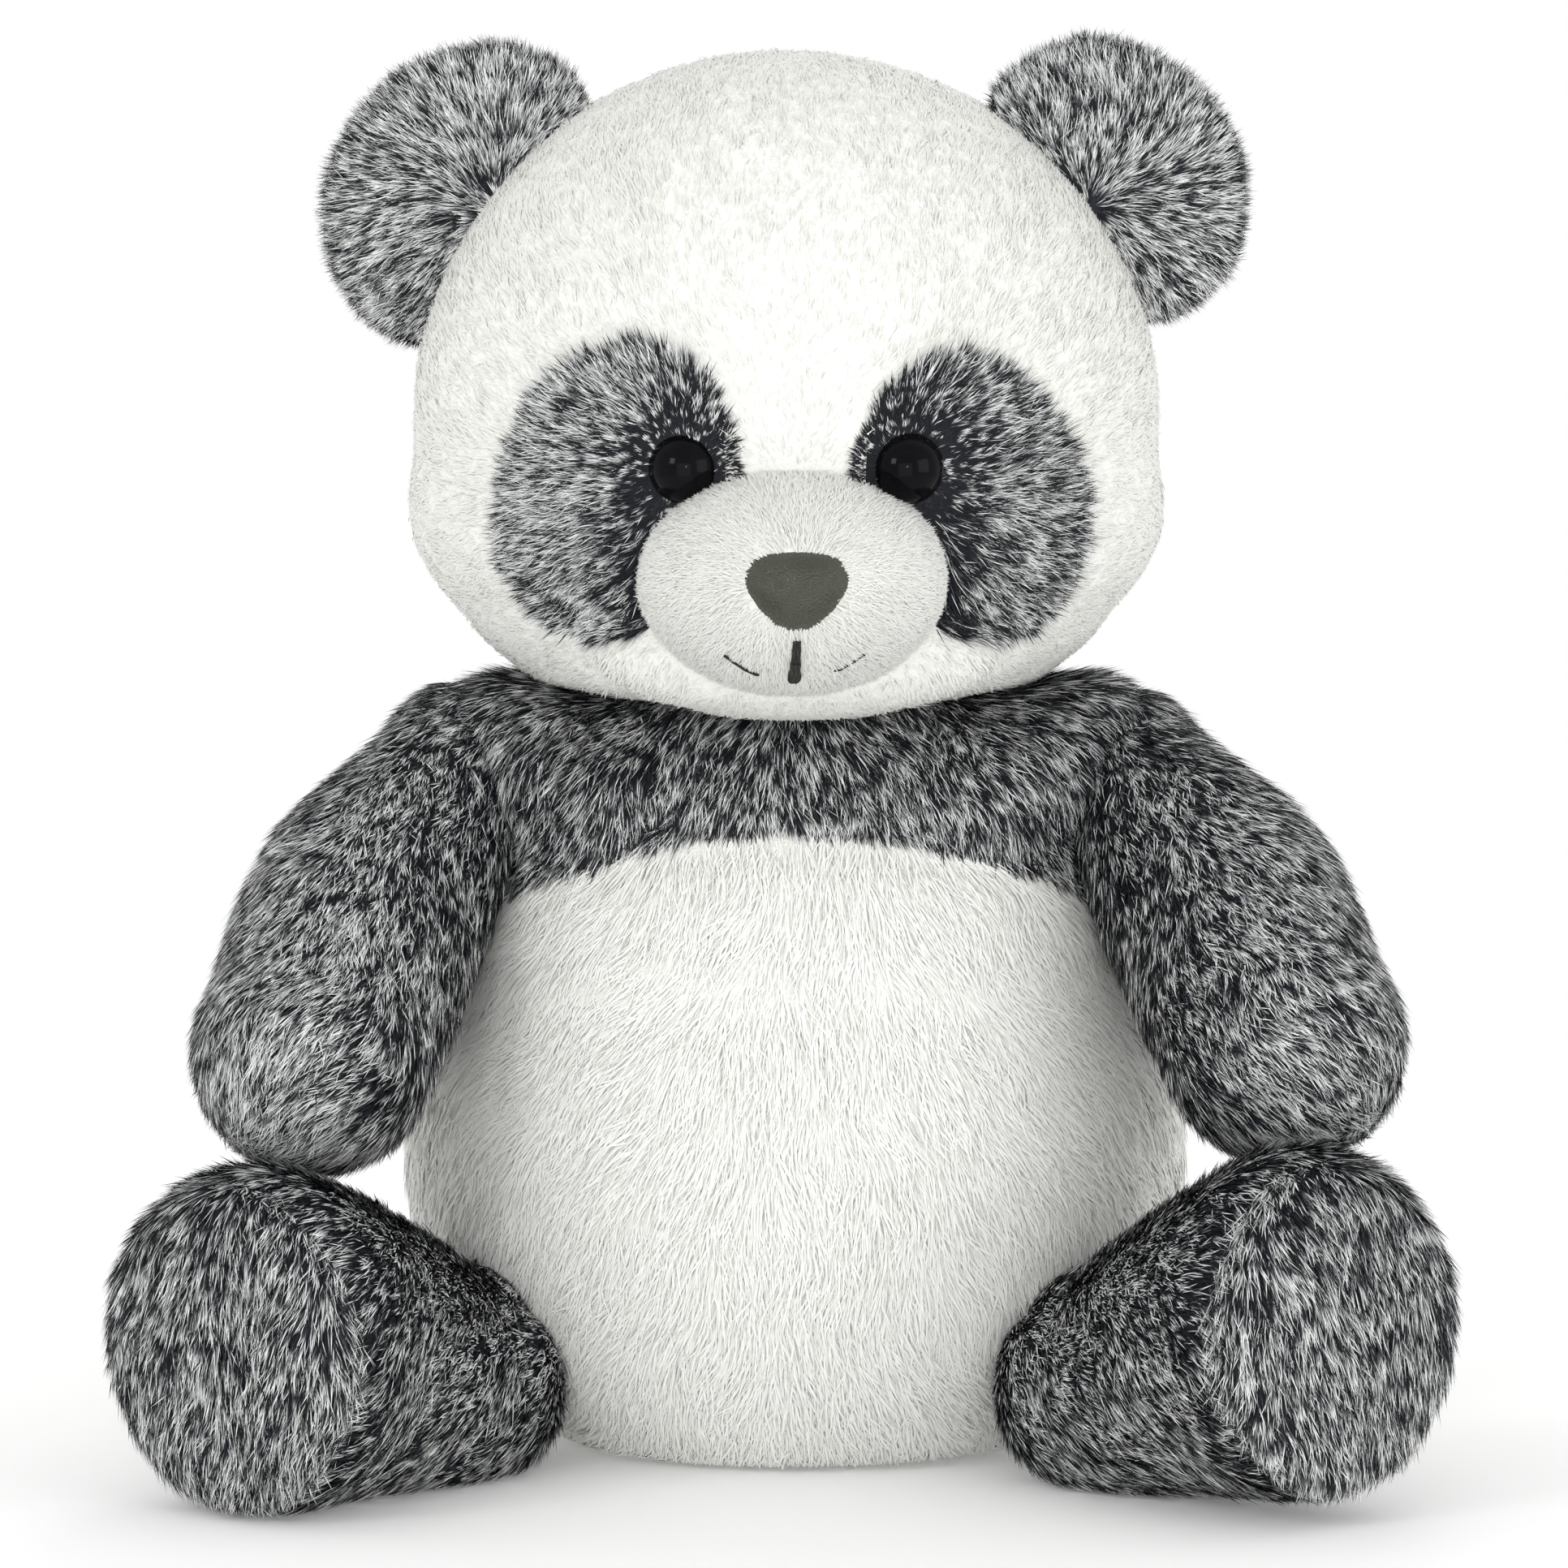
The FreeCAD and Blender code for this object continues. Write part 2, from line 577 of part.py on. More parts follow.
noseRound.Base = (nosePad, [f"Edge{number}" for number, edge in enumerate(nosePad.Shape.Edges, start=1)
                            if abs(edge.BoundBox.YMax - frontY) < 0.01])
bind(noseRound, Radius="sizes.nose_edge")
put(noseBody, forward="sizes.nose_top_forward - 3", level="sizes.muzzle_level + sizes.nose_rise")
doc.recompute()
noseCap = cut("nose_cap", noseBody, muzzleOuter)
keep("nose", fuse("nose_moulding", noseCap, fixings["nose"]["post"]))

# fabric of the head
patchTools = {}
for side, sign in sides.items():
    patchTools[side] = ellipsoid(f"{side}_patch_tool", "sizes.patch_half_width", "sizes.head_half_depth",
                                "sizes.patch_half_tall", side=f"{sign} * sizes.patch_side",
                                forward="sizes.patch_forward",
                                level="sizes.head_level - sizes.patch_drop",
                                turn=about("y", f"-({sign}) * sizes.patch_lean"))

headHoles = fuse("head_holes", neckPlug, muzzleInner, *earGrooves, *pockets)
headShell = cut("head_shell", cut("head_closed_shell", headOuter, headInner), headHoles)
headFilling = cut("head_filling", fuse("head_soft", headInner, muzzleInner, neckPlug),
                  fuse("head_pockets", *earGrooves, *pockets))
keep("head_stuffing", headFilling)
gussetFront = block("gusset_front", "2 * sizes.gusset_half_width", far, far,
                    forward=f"{far} / 2", level="sizes.muzzle_level")
gussetBack = block("gusset_back", "2 * sizes.gusset_half_width", far, far, forward=f"-{far} / 2")
patchPair = fuse("patch_pair", *patchTools.values())
gussetTool = cut("gusset_tool", fuse("gusset_strip", gussetFront, gussetBack), patchPair)
keep("head_gusset", common("gusset", headShell, gussetTool))
notSide = fuse("head_not_side", patchPair, gussetFront, gussetBack)
sideShell = cut("head_side_shell", headShell, notSide)
for side in sides:
    keep(f"{side}_cheek_panel", common(f"{side}_cheek", sideShell, frontHalf, halves[side]))
    keep(f"{side}_head_back_panel", common(f"{side}_head_back", sideShell, backHalf, halves[side]))
    keep(f"{side}_eye_patch", common(f"{side}_patch", headShell, patchTools[side], frontHalf, halves[side]))
muzzleSkin = cut("muzzle_cup", cut("muzzle_shell", muzzleOuter, muzzleInner), headOuter)
keep("muzzle_panel", cut("muzzle", muzzleSkin, fixings["nose"]["post"]))

# mouth: one upright stitch under the nose and two short ones rising to the cheeks
threadForm = cut("muzzle_thread_layer", muzzleForm("muzzle_proud", "-sizes.thread"), muzzleOuter)
mouthTop = "sizes.muzzle_level + sizes.nose_rise - sizes.nose_tall / 2 - sizes.mouth_drop"
mouthBar = block("mouth_bar", "1.5 * sizes.thread", deep, "sizes.mouth_length", forward=f"{deep} / 2",
                 level=f"{mouthTop} - sizes.mouth_length")
keep("mouth_stitch", common("mouth", threadForm, cut("mouth_bar_front", mouthBar, headOuter)))
for side, sign in sides.items():
    bar = block(side + "_smile_bar", "sizes.smile_length", deep, "1.2 * sizes.thread",
                side=f"{sign} * sizes.smile_side", forward=f"{deep} / 2",
                level=f"{mouthTop} - sizes.smile_drop", turn=about("y", f"-({sign}) * sizes.smile_lift"))
    keep(f"{side}_smile_stitch", common(side + "_smile", threadForm, cut(side + "_smile_front", bar, headOuter)))
doc.recompute()
print("head built")

# ---- checks and export ------------------------------------------------------
for thing in doc.Objects:
    faults = [state for state in thing.State if state in ("Invalid", "Error")]
    if faults:
        raise RuntimeError(f"{thing.Name} ({thing.Label}) did not build: {thing.State}")
for node, thing in parts.items():
    shape = thing.Shape
    if shape.isNull() or not shape.isValid() or not shape.Solids:
        raise RuntimeError(f"{node} has no valid solid")
    print(f"{node:24s} {shape.Volume / 1000:9.2f} cm3  {len(shape.Solids)} solid(s)")

os.makedirs("parts", exist_ok=True)
for node, thing in parts.items():
    thing.Shape.exportStep(f"parts/{node}.step")
print(len(parts), "nodes written")
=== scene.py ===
import json
import math
import bmesh
import bpy
import numpy as np
from mathutils import Matrix, Vector, kdtree
from mathutils.bvhtree import BVHTree


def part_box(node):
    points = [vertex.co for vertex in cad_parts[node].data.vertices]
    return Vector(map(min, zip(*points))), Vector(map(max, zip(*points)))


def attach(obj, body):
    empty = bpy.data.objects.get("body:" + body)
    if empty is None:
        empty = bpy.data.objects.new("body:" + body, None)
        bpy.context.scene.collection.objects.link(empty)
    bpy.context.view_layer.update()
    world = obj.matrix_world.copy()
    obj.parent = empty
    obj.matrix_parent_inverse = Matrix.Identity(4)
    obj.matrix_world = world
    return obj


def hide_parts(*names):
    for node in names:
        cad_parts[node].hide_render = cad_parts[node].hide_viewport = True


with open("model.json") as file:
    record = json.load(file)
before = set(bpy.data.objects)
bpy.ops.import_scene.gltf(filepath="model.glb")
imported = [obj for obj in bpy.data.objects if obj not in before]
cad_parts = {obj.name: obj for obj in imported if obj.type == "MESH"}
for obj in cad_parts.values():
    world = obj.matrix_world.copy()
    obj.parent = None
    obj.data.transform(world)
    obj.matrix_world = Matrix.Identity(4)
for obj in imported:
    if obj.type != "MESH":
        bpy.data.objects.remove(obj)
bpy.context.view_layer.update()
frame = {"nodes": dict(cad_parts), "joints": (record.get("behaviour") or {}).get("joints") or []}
scene = bpy.context.scene
mm = 0.001
sides = {"left": -1, "right": 1}

# camera, light and floor

studio = {
    "target": (-2, -20, 116),      # mm
    "distance": 1300,
    "elevation": 5.5,              # degrees
    "lens": 175,
    "skyStrength": 0.83,
    "floorColour": (0.96, 0.96, 0.955, 1),
    "floorGlow": 0.12,
    "floorHalf": 0.7,              # m
    "floorDrop": 0.0003,
    "floorFade": (0.24, 0.62),     # m from the middle
    "lights": {                    # place, aim and size in mm, and power in W
        "key": ((-820, -900, 640), (0, 0, 100), 330, 2.6),
        "fill": ((900, -700, 300), (0, 0, 80), 700, 2.6),
        "front": ((-100, -1200, 60), (0, 0, 40), 900, 2.4),
        "back": ((250, 900, 700), (0, 0, 120), 600, 1.6),
        "spark": ((40, -1180, 300), (0, -50, 170), 46, 0.5),
    },
}


def aimed(place, target):
    return (Vector(target) - Vector(place)).to_track_quat("-Z", "Y").to_euler()


def addForm(name, data):
    form = bpy.data.objects.new(name, data)
    scene.collection.objects.link(form)
    return form


def formFrom(name, bm):
    mesh = bpy.data.meshes.new(name)
    bm.to_mesh(mesh)
    bm.free()
    return addForm(name, mesh)


def setStudio():
    rise = math.radians(studio["elevation"])
    target = Vector(studio["target"])
    place = target + studio["distance"] * Vector((0, -math.cos(rise), math.sin(rise)))
    lens = bpy.data.cameras.new("camera")
    lens.lens = studio["lens"]
    lens.clip_end = 20
    camera = addForm("camera", lens)
    camera.location = place * mm
    camera.rotation_euler = aimed(place, target)
    scene.camera = camera
    for name, (spot, aim, size, power) in studio["lights"].items():
        lamp = bpy.data.lights.new(name, "AREA")
        lamp.shape = "DISK" if name == "spark" else "SQUARE"
        lamp.size = size * mm
        lamp.energy = power
        light = addForm(name, lamp)
        light.location = Vector(spot) * mm
        light.rotation_euler = aimed(spot, aim)
    sky = bpy.data.worlds.new("studioSky")
    sky.use_nodes = True
    paper = sky.node_tree.nodes["Background"]
    paper.inputs["Color"].default_value = (1, 1, 1, 1)
    seen = sky.node_tree.nodes.new("ShaderNodeLightPath").outputs["Is Camera Ray"]
    strength = sky.node_tree.nodes.new("ShaderNodeMapRange")
    strength.inputs["To Min"].default_value = studio["skyStrength"]
    sky.node_tree.links.new(seen, strength.inputs["Value"])
    sky.node_tree.links.new(strength.outputs["Result"], paper.inputs["Strength"])
    scene.world = sky
    scene.view_settings.view_transform = "Standard"
    scene.view_settings.look = "None"


def layFloor():
    bm = bmesh.new()
    bmesh.ops.create_grid(bm, x_segments=8, y_segments=8, size=studio["floorHalf"])
    for v in bm.verts:
        v.co.z = -studio["floorDrop"]
    floor = formFrom("studioFloor", bm)
    finish, tree, shader = newFinish("floorPaper")
    shader.inputs["Base Color"].default_value = studio["floorColour"]
    shader.inputs["Roughness"].default_value = 0.9
    shader.inputs["Specular IOR Level"].default_value = 0.1
    shader.inputs["Emission Color"].default_value = (1, 1, 1, 1)
    shader.inputs["Emission Strength"].default_value = studio["floorGlow"]
    spot = tree.nodes.new("ShaderNodeTexCoord")
    reach = tree.nodes.new("ShaderNodeVectorMath")
    reach.operation = "LENGTH"
    tree.links.new(spot.outputs["Object"], reach.inputs[0])
    fade = smoothRange(tree, reach.outputs["Value"], *studio["floorFade"], 1.0, 0.0)
    tree.links.new(fade, shader.inputs["Alpha"])
    floor.data.materials.append(finish)


# node helpers

def newFinish(name):
    finish = bpy.data.materials.new(name)
    finish.use_nodes = True
    tree = finish.node_tree
    return finish, tree, tree.nodes["Principled BSDF"]


def newGroup(name, takes, gives):
    group = bpy.data.node_groups.new(name, "ShaderNodeTree")
    for title, kind, value in takes:
        socket = group.interface.new_socket(title, in_out="INPUT", socket_type="NodeSocket" + kind)
        socket.default_value = value
    for title, kind in gives:
        group.interface.new_socket(title, in_out="OUTPUT", socket_type="NodeSocket" + kind)
    return group, group.nodes.new("NodeGroupInput"), group.nodes.new("NodeGroupOutput")


def mixColour(tree, factor, first, second, mode="MIX"):
    mix = tree.nodes.new("ShaderNodeMix")
    mix.data_type = "RGBA"
    mix.blend_type = mode
    for socket, value in ((mix.inputs[0], factor), (mix.inputs[6], first), (mix.inputs[7], second)):
        if isinstance(value, bpy.types.NodeSocket):
            tree.links.new(value, socket)
        else:
            socket.default_value = value
    return mix.outputs[2]


def smoothRange(tree, value, low, high, toLow=0.0, toHigh=1.0):
    node = tree.nodes.new("ShaderNodeMapRange")
    node.interpolation_type = "SMOOTHSTEP"
    tree.links.new(value, node.inputs["Value"])
    node.inputs["From Min"].default_value = low
    node.inputs["From Max"].default_value = high
    node.inputs["To Min"].default_value = toLow
    node.inputs["To Max"].default_value = toHigh
    return node.outputs["Result"]


def objectPlace(tree, node):
    place = tree.nodes.new("ShaderNodeTexCoord")
    tree.links.new(place.outputs["Object"], node.inputs["Vector"])


def noiseAt(tree, scale, detail=3.0, rough=0.6):
    noise = tree.nodes.new("ShaderNodeTexNoise")
    noise.inputs["Scale"].default_value = scale
    noise.inputs["Detail"].default_value = detail
    noise.inputs["Roughness"].default_value = rough
    objectPlace(tree, noise)
    return noise.outputs["Fac"]


def addBump(tree, height, distance):
    bump = tree.nodes.new("ShaderNodeBump")
    bump.inputs["Distance"].default_value = distance
    tree.links.new(height, bump.inputs["Height"])
    tree.links.new(bump.outputs["Normal"], tree.nodes["Principled BSDF"].inputs["Normal"])
    return bump


def placeGroup(tree, group, **values):
    node = tree.nodes.new("ShaderNodeGroup")
    node.node_tree = group
    for title, value in values.items():
        node.inputs[title].default_value = value
    return node


# pile colours: the map of a strand holds its own shade across and its height up from the root

pileMap = {"name": "OFBake", "across": 0.004, "top": 0.3}
pileBlend = {"middle": (0.05, 0.42), "tip": (0.3, 0.75), "dullEdge": 0.12}


def makePileShade():
    group, taken, given = newGroup("pileShade", [
        ("Root", "Color", (0.02, 0.02, 0.03, 1)), ("Middle", "Color", (0.1, 0.1, 0.12, 1)),
        ("Tip", "Color", (0.5, 0.5, 0.5, 1)), ("Dull", "Color", (0.05, 0.05, 0.06, 1)),
        ("Dull Share", "Float", 0.5), ("Low", "Float", 0.7), ("High", "Float", 1.2)], [("Colour", "Color")])
    strand = group.nodes.new("ShaderNodeUVMap")
    strand.uv_map = pileMap["name"]
    split = group.nodes.new("ShaderNodeSeparateXYZ")
    group.links.new(strand.outputs["UV"], split.inputs[0])
    shade, height = split.outputs["X"], split.outputs["Y"]
    lower, upper = (smoothRange(group, height, *(share * pileMap["top"] for share in pileBlend[part]))
                    for part in ("middle", "tip"))
    bright = mixColour(group, lower, taken.outputs["Root"], taken.outputs["Middle"])
    bright = mixColour(group, upper, bright, taken.outputs["Tip"])
    dull = mixColour(group, upper, taken.outputs["Root"], taken.outputs["Dull"])
    minus = group.nodes.new("ShaderNodeMath")
    minus.operation = "SUBTRACT"
    group.links.new(shade, minus.inputs[0])
    group.links.new(taken.outputs["Dull Share"], minus.inputs[1])
    chosen = smoothRange(group, minus.outputs[0], -pileBlend["dullEdge"], pileBlend["dullEdge"])
    colour = mixColour(group, chosen, dull, bright)
    light = smoothRange(group, shade, 0.0, 1.0)
    for title, socket in (("Low", "To Min"), ("High", "To Max")):
        group.links.new(taken.outputs[title], light.node.inputs[socket])
    joined = group.nodes.new("ShaderNodeCombineXYZ")
    for axis in range(3):
        group.links.new(light, joined.inputs[axis])
    group.links.new(mixColour(group, 1.0, colour, joined.outputs[0], "MULTIPLY"), given.inputs["Colour"])
    return group


def makeBackingKnit():
    group, taken, given = newGroup("backingKnit", [
        ("First", "Color", (0.1, 0.1, 0.1, 1)), ("Second", "Color", (0.2, 0.2, 0.2, 1))],
        [("Colour", "Color"), ("Height", "Float")])
    blotch = noiseAt(group, 90)
    loops = noiseAt(group, 1500, 1.0)
    group.links.new(mixColour(group, smoothRange(group, blotch, 0.35, 0.65), taken.outputs["First"],
                              taken.outputs["Second"]), given.inputs["Colour"])
    group.links.new(loops, given.inputs["Height"])
    return group


pileShade = makePileShade()
backingKnit = makeBackingKnit()

# the head and muzzle pile is set darker than the belly, back and tail pile, though both are the same white
# fur: painted shade on the brightly lit head, and painted light on the belly that the arms shade
pileFinishes = {
    "dimmedWhitePile": dict(Root=(0.82, 0.82, 0.775, 1), Middle=(0.84, 0.84, 0.805, 1),
                      Tip=(0.86, 0.862, 0.83, 1), Dull=(0.83, 0.83, 0.79, 1), Low=0.97, High=1.02),
    "brightenedWhitePile": dict(Root=(0.94, 0.94, 0.895, 1), Middle=(0.955, 0.955, 0.925, 1),
                      Tip=(0.97, 0.97, 0.94, 1), Dull=(0.94, 0.94, 0.90, 1), Low=0.97, High=1.01),
    "greyPile": dict(Root=(0.008, 0.009, 0.014, 1), Middle=(0.095, 0.10, 0.112, 1),
                     Tip=(0.84, 0.855, 0.84, 1), Dull=(0.014, 0.016, 0.022, 1), Low=0.72, High=1.15),
}
pileGloss = {"Roughness": 0.62, "Specular IOR Level": 0.25}
backings = {
    "whiteBacking": ((0.88, 0.88, 0.84, 1), (0.92, 0.92, 0.88, 1)),
    "greyBacking": ((0.010, 0.011, 0.016, 1), (0.022, 0.025, 0.033, 1)),
    "fillingFibre": ((0.82, 0.82, 0.82, 1), (0.9, 0.9, 0.9, 1)),
    "bagCloth": ((0.66, 0.66, 0.62, 1), (0.74, 0.74, 0.70, 1)),
}


def makePile(name, colours):
    finish, tree, shader = newFinish(name)
    shade = placeGroup(tree, pileShade, **colours)
    tree.links.new(shade.outputs["Colour"], shader.inputs["Base Color"])
    for title, value in pileGloss.items():
        shader.inputs[title].default_value = value
    return finish


def makeBacking(name, first, second):
    finish, tree, shader = newFinish(name)
    knit = placeGroup(tree, backingKnit, First=first, Second=second)
    addBump(tree, knit.outputs["Height"], 0.0003)
    tree.links.new(knit.outputs["Colour"], shader.inputs["Base Color"])
    shader.inputs["Roughness"].default_value = 0.9
    return finish


finishes = {name: makePile(name, colours) for name, colours in pileFinishes.items()}
finishes.update({name: makeBacking(name, *colours) for name, colours in backings.items()})
setStudio()
layFloor()
print("studio and finishes set")

# forms of the toy, in mm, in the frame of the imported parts

def ellipsoid(centre, radii):
    return {"centre": np.array(centre, float), "radii": np.array(radii, float)}


def limb(start, end, startRadius, endRadius):
    return {"start": np.array(start, float), "end": np.array(end, float),
            "from": startRadius, "to": endRadius}


def distanceTo(points, shape):
    if "centre" in shape:
        away = points - shape["centre"]
        reach = np.linalg.norm(away / shape["radii"], axis=1)
        return (1 - 1 / np.maximum(reach, 1e-6)) * np.linalg.norm(away, axis=1)
    span = shape["end"] - shape["start"]
    share = np.clip((points - shape["start"]) @ span / (span @ span), 0, 1)
    nearest = shape["start"] + share[:, None] * span
    radius = shape["from"] + share * (shape["to"] - shape["from"])
    return np.linalg.norm(points - nearest, axis=1) - radius


def clearance(points, shapes):
    free = np.full(len(points), 1e3)
    for shape in shapes:
        free = np.minimum(free, distanceTo(points, shape))
    return free


def unit(vectors):
    return vectors / np.maximum(np.linalg.norm(vectors, axis=-1, keepdims=True), 1e-9)


def outOf(points, shapes, gap):
    for shape in shapes:
        free = distanceTo(points, shape)
        inside = free < gap
        if not inside.any():
            continue
        at = points[inside]
        slope = np.empty_like(at)
        for axis in range(3):
            step = np.zeros(3)
            step[axis] = 0.2
            slope[:, axis] = distanceTo(at + step, shape) - distanceTo(at - step, shape)
        points[inside] = at + unit(slope) * (gap - free[inside])[:, None]
    return points


mixers = {"cell": (73856093, 19349663, 83492791), "seed": 2654435761, "spread": (2246822519, 3266489917),
          "word": 0xFFFFFFFF, "half": 0xFFFF}


def softNoise(points, size, seed):
    word, half = mixers["word"], mixers["half"]
    cell = np.floor(points / size).astype(np.int64)
    part = points / size - cell
    part = part * part * (3 - 2 * part)
    total = np.zeros(len(points))
    for corner in np.ndindex(2, 2, 2):
        at = cell + corner
        mixed = seed * mixers["seed"] ^ np.bitwise_xor.reduce(at * np.array(mixers["cell"]), axis=1)
        mixed = ((mixed & word) * mixers["spread"][0]) & word
        mixed = ((mixed ^ (mixed >> 15)) * mixers["spread"][1]) & word
        weight = np.prod(np.where(np.array(corner) == 1, part, 1 - part), axis=1)
        total += ((mixed >> 16) & half) / half * weight
    return 2 * total - 1


joints = {joint["name"]: joint for joint in frame["joints"]}


def jointPlace(name):
    return np.array(joints[name]["pos_m"]) / mm


head = {
    "skull": ellipsoid((-1.6, 0, 178), (64.4, 54.4, 62.6)),
    "cheeks": ellipsoid((-1.6, 0, 163), (65.6, 50.6, 36)),
    "jowls": ellipsoid((-1.4, -1, 144.5), (55, 43, 17)),
    "chin": ellipsoid((0, -37, 138.6), (36, 14, 9.4)),
    "neckLevel": 132.2,
    "muzzle": ellipsoid((-0.6, -47, 152.9), (25.4, 24.6, 19.0)),
    "backFrom": 6,                 # the pile is split here into front and back
    "nape": 131,
    "backPile": {"perArea": 2.0, "width": 0.46, "seed": 71},
}
trunk = {
    "belly": ellipsoid((0, 0, 50), (67.4, 56.6, 62)),
    "chest": ellipsoid((0, 0, 84), (47.4, 40.6, 60)),
    "shoulders": [ellipsoid((sign * 29, -1, 114), (22, 30, 16.5)) for sign in sides.values()]
                 + [ellipsoid((sign * 41, 0, 116), (14.5, 25, 16.5)) for sign in sides.values()],
    "ribs": ellipsoid((0, -2, 84), (57.5, 44, 42)),
    "shoulderTops": [ellipsoid((sign * 50, 0, 121.6), (11, 15, 12)) for sign in sides.values()],
    "neckLevel": 131.6,
    "seatLevel": 0.4,
    "archLevel": 16,
    "archRadius": 95,
}
arm = {"shoulderRadius": 14.0, "handRadius": 19.8, "bow": 3.0, "bulge": 2.8, "length": 68,
       "raise": {"left": (4.2, 0, 2.6), "right": (3.4, 0, 1.6)},
       "spread": {"left": 23.5, "right": 24}, "drop": {"left": 39.85, "right": 37.55}}
leg = {"hipRadius": 20, "footRadius": 28.5, "thigh": 51, "straight": 6, "edge": 9, "dome": 2.2, "skip": 9,
       "sink": 12.5, "splay": {"left": 40, "right": 42}, "lift": {"left": 0, "right": 4}}
ear = {"radii": {"left": (26, 7.2, 22.4), "right": (24.2, 7.0, 21.2)}, "angle": 35,
       "rise": {"left": 5.4, "right": 4.8}, "aside": {"left": -1.6, "right": -1.6}}
tail = {"radius": 13, "level": 24}
headShapes = [head["skull"], head["cheeks"], head["jowls"], head["chin"]]
trunkShapes = [trunk["belly"], trunk["chest"], trunk["ribs"]]

armPlace, legPlace, earPlace, armShape, legShape = {}, {}, {}, {}, {}
for side, sign in sides.items():
    shoulder = Matrix.Translation(Vector(jointPlace(f"{side}_shoulder")))
    spread = math.radians(arm["spread"][side])
    swing = math.acos(arm["drop"][side] / (arm["length"] * math.cos(spread)))
    armPlace[side] = shoulder @ Matrix.Rotation(-swing, 4, "X") @ Matrix.Rotation(-sign * spread, 4, "Y")
    hand = armPlace[side] @ Vector((0, 0, -arm["length"]))
    top = shoulder.translation + Vector((sign * arm["raise"][side][0], *arm["raise"][side][1:]))
    turn = (armPlace[side].to_3x3() @ Vector((0, 0, -1))).rotation_difference(hand - top)
    armPlace[side] = Matrix.Translation(top) @ (turn.to_matrix() @ armPlace[side].to_3x3()).to_4x4()
    splay = math.radians(leg["splay"][side])
    hip = Matrix.Translation(Vector(jointPlace(f"{side}_hip")))
    level = Matrix.Rotation(math.radians(-90 - leg["lift"][side]), 4, "X")
    legPlace[side] = hip @ Matrix.Rotation(sign * splay, 4, "Z") @ level
    root = Matrix.Translation(Vector(jointPlace(f"{side}_ear_fold")))
    earPlace[side] = root @ Matrix.Rotation(math.radians(sign * (90 - ear["angle"])), 4, "Y")
    armShape[side] = limb(armPlace[side] @ Vector(), armPlace[side] @ Vector((0, 0, -arm["length"])),
                          arm["shoulderRadius"] + 0.6, arm["handRadius"])
    legShape[side] = limb(legPlace[side] @ Vector((0, leg["sink"], -leg["skip"])),
                          legPlace[side] @ Vector((0, 0, -leg["thigh"] - leg["straight"])),
                          leg["hipRadius"], leg["footRadius"])


# skins: closed forms, remeshed, puffed up by cloth pressure, and drawn in along their seams

def addBall(bm, shape):
    made = bmesh.ops.create_icosphere(bm, subdivisions=4, radius=1)
    grow = Matrix.Translation(Vector(shape["centre"]) * mm) @ Matrix.Diagonal((*(shape["radii"] * mm), 1))
    bmesh.ops.transform(bm, matrix=grow, verts=made["verts"])


def addTurned(bm, rings, place, corners=40):
    loops = []
    for radius, reach, aside, down in rings:
        turns = range(corners) if radius > 0 else (0,)
        around = [2 * math.pi * n / corners for n in turns]
        loops.append([bm.verts.new(place @ Vector((radius * math.cos(turn) + aside,
                                                   radius * math.sin(turn) + down, -reach)) * mm)
                      for turn in around])
    for here, there in zip(loops, loops[1:]):
        for n in range(corners):
            m = (n + 1) % corners
            ring = [here[n % len(here)], here[m % len(here)], there[m % len(there)], there[n % len(there)]]
            bm.faces.new(list(dict.fromkeys(ring)))


def cutBelow(bm, level, above=True):
    geometry = bm.verts[:] + bm.edges[:] + bm.faces[:]
    made = bmesh.ops.bisect_plane(bm, geom=geometry, plane_co=(0, 0, level * mm), plane_no=(0, 0, 1),
                                  clear_inner=above, clear_outer=not above)
    bmesh.ops.edgenet_fill(bm, edges=[e for e in made["geom_cut"] if isinstance(e, bmesh.types.BMEdge)])


def readPoints(mesh):
    points = np.empty(len(mesh.vertices) * 3)
    mesh.vertices.foreach_get("co", points)
    return points.reshape(-1, 3) / mm


def writePoints(mesh, points):
    mesh.vertices.foreach_set("co", (points * mm).ravel())
    mesh.update()


cast = {"head": (2.6, 10), "muzzle": (1.6, 6), "trunk": (2.8, 10), "tail": (2.0, 4), "arm": (2.4, 6),
        "leg": (2.6, 5), "ear": (1.6, 5)}      # voxel and rounds of smoothing


def castSkin(name, bm, kind):
    bmesh.ops.recalc_face_normals(bm, faces=bm.faces)
    return evenOut(formFrom(name, bm), *cast[kind])


def evenOut(form, voxel, smoothing):
    remesh = form.modifiers.new("remesh", "REMESH")
    remesh.mode = "VOXEL"
    remesh.voxel_size = voxel * mm
    smooth = form.modifiers.new("smooth", "SMOOTH")
    smooth.factor = 0.5
    smooth.iterations = smoothing
    settle(form)
    return form


def settle(form):
    made = bpy.data.meshes.new_from_object(form.evaluated_get(bpy.context.evaluated_depsgraph_get()))
    old = form.data
    form.modifiers.clear()
    form.data = made
    bpy.data.meshes.remove(old)
    made.name = form.name
    made.shade_smooth()


def armRings(sign):
    rings = []
    low, high, length = arm["shoulderRadius"] + 0.4, arm["handRadius"], arm["length"]
    quarter = math.pi / 2
    for reach in np.concatenate([-low * np.cos(np.linspace(0, quarter, 9)), np.linspace(4, length - 4, 12),
                                 length + high * np.sin(np.linspace(0, quarter, 10))]):
        share = min(max(reach / length, 0), 1)
        swell = math.sin(math.pi * share) ** 1.5
        radius = low + (high - low) * share + arm["bulge"] * swell
        if reach < 0:
            radius = math.sqrt(max(low ** 2 - reach ** 2, 0))
        elif reach > length:
            radius = math.sqrt(max(high ** 2 - (reach - length) ** 2, 0))
        rings.append((radius if radius > 0.5 else 0, reach, sign * arm["bow"] * swell, 0))
    return rings


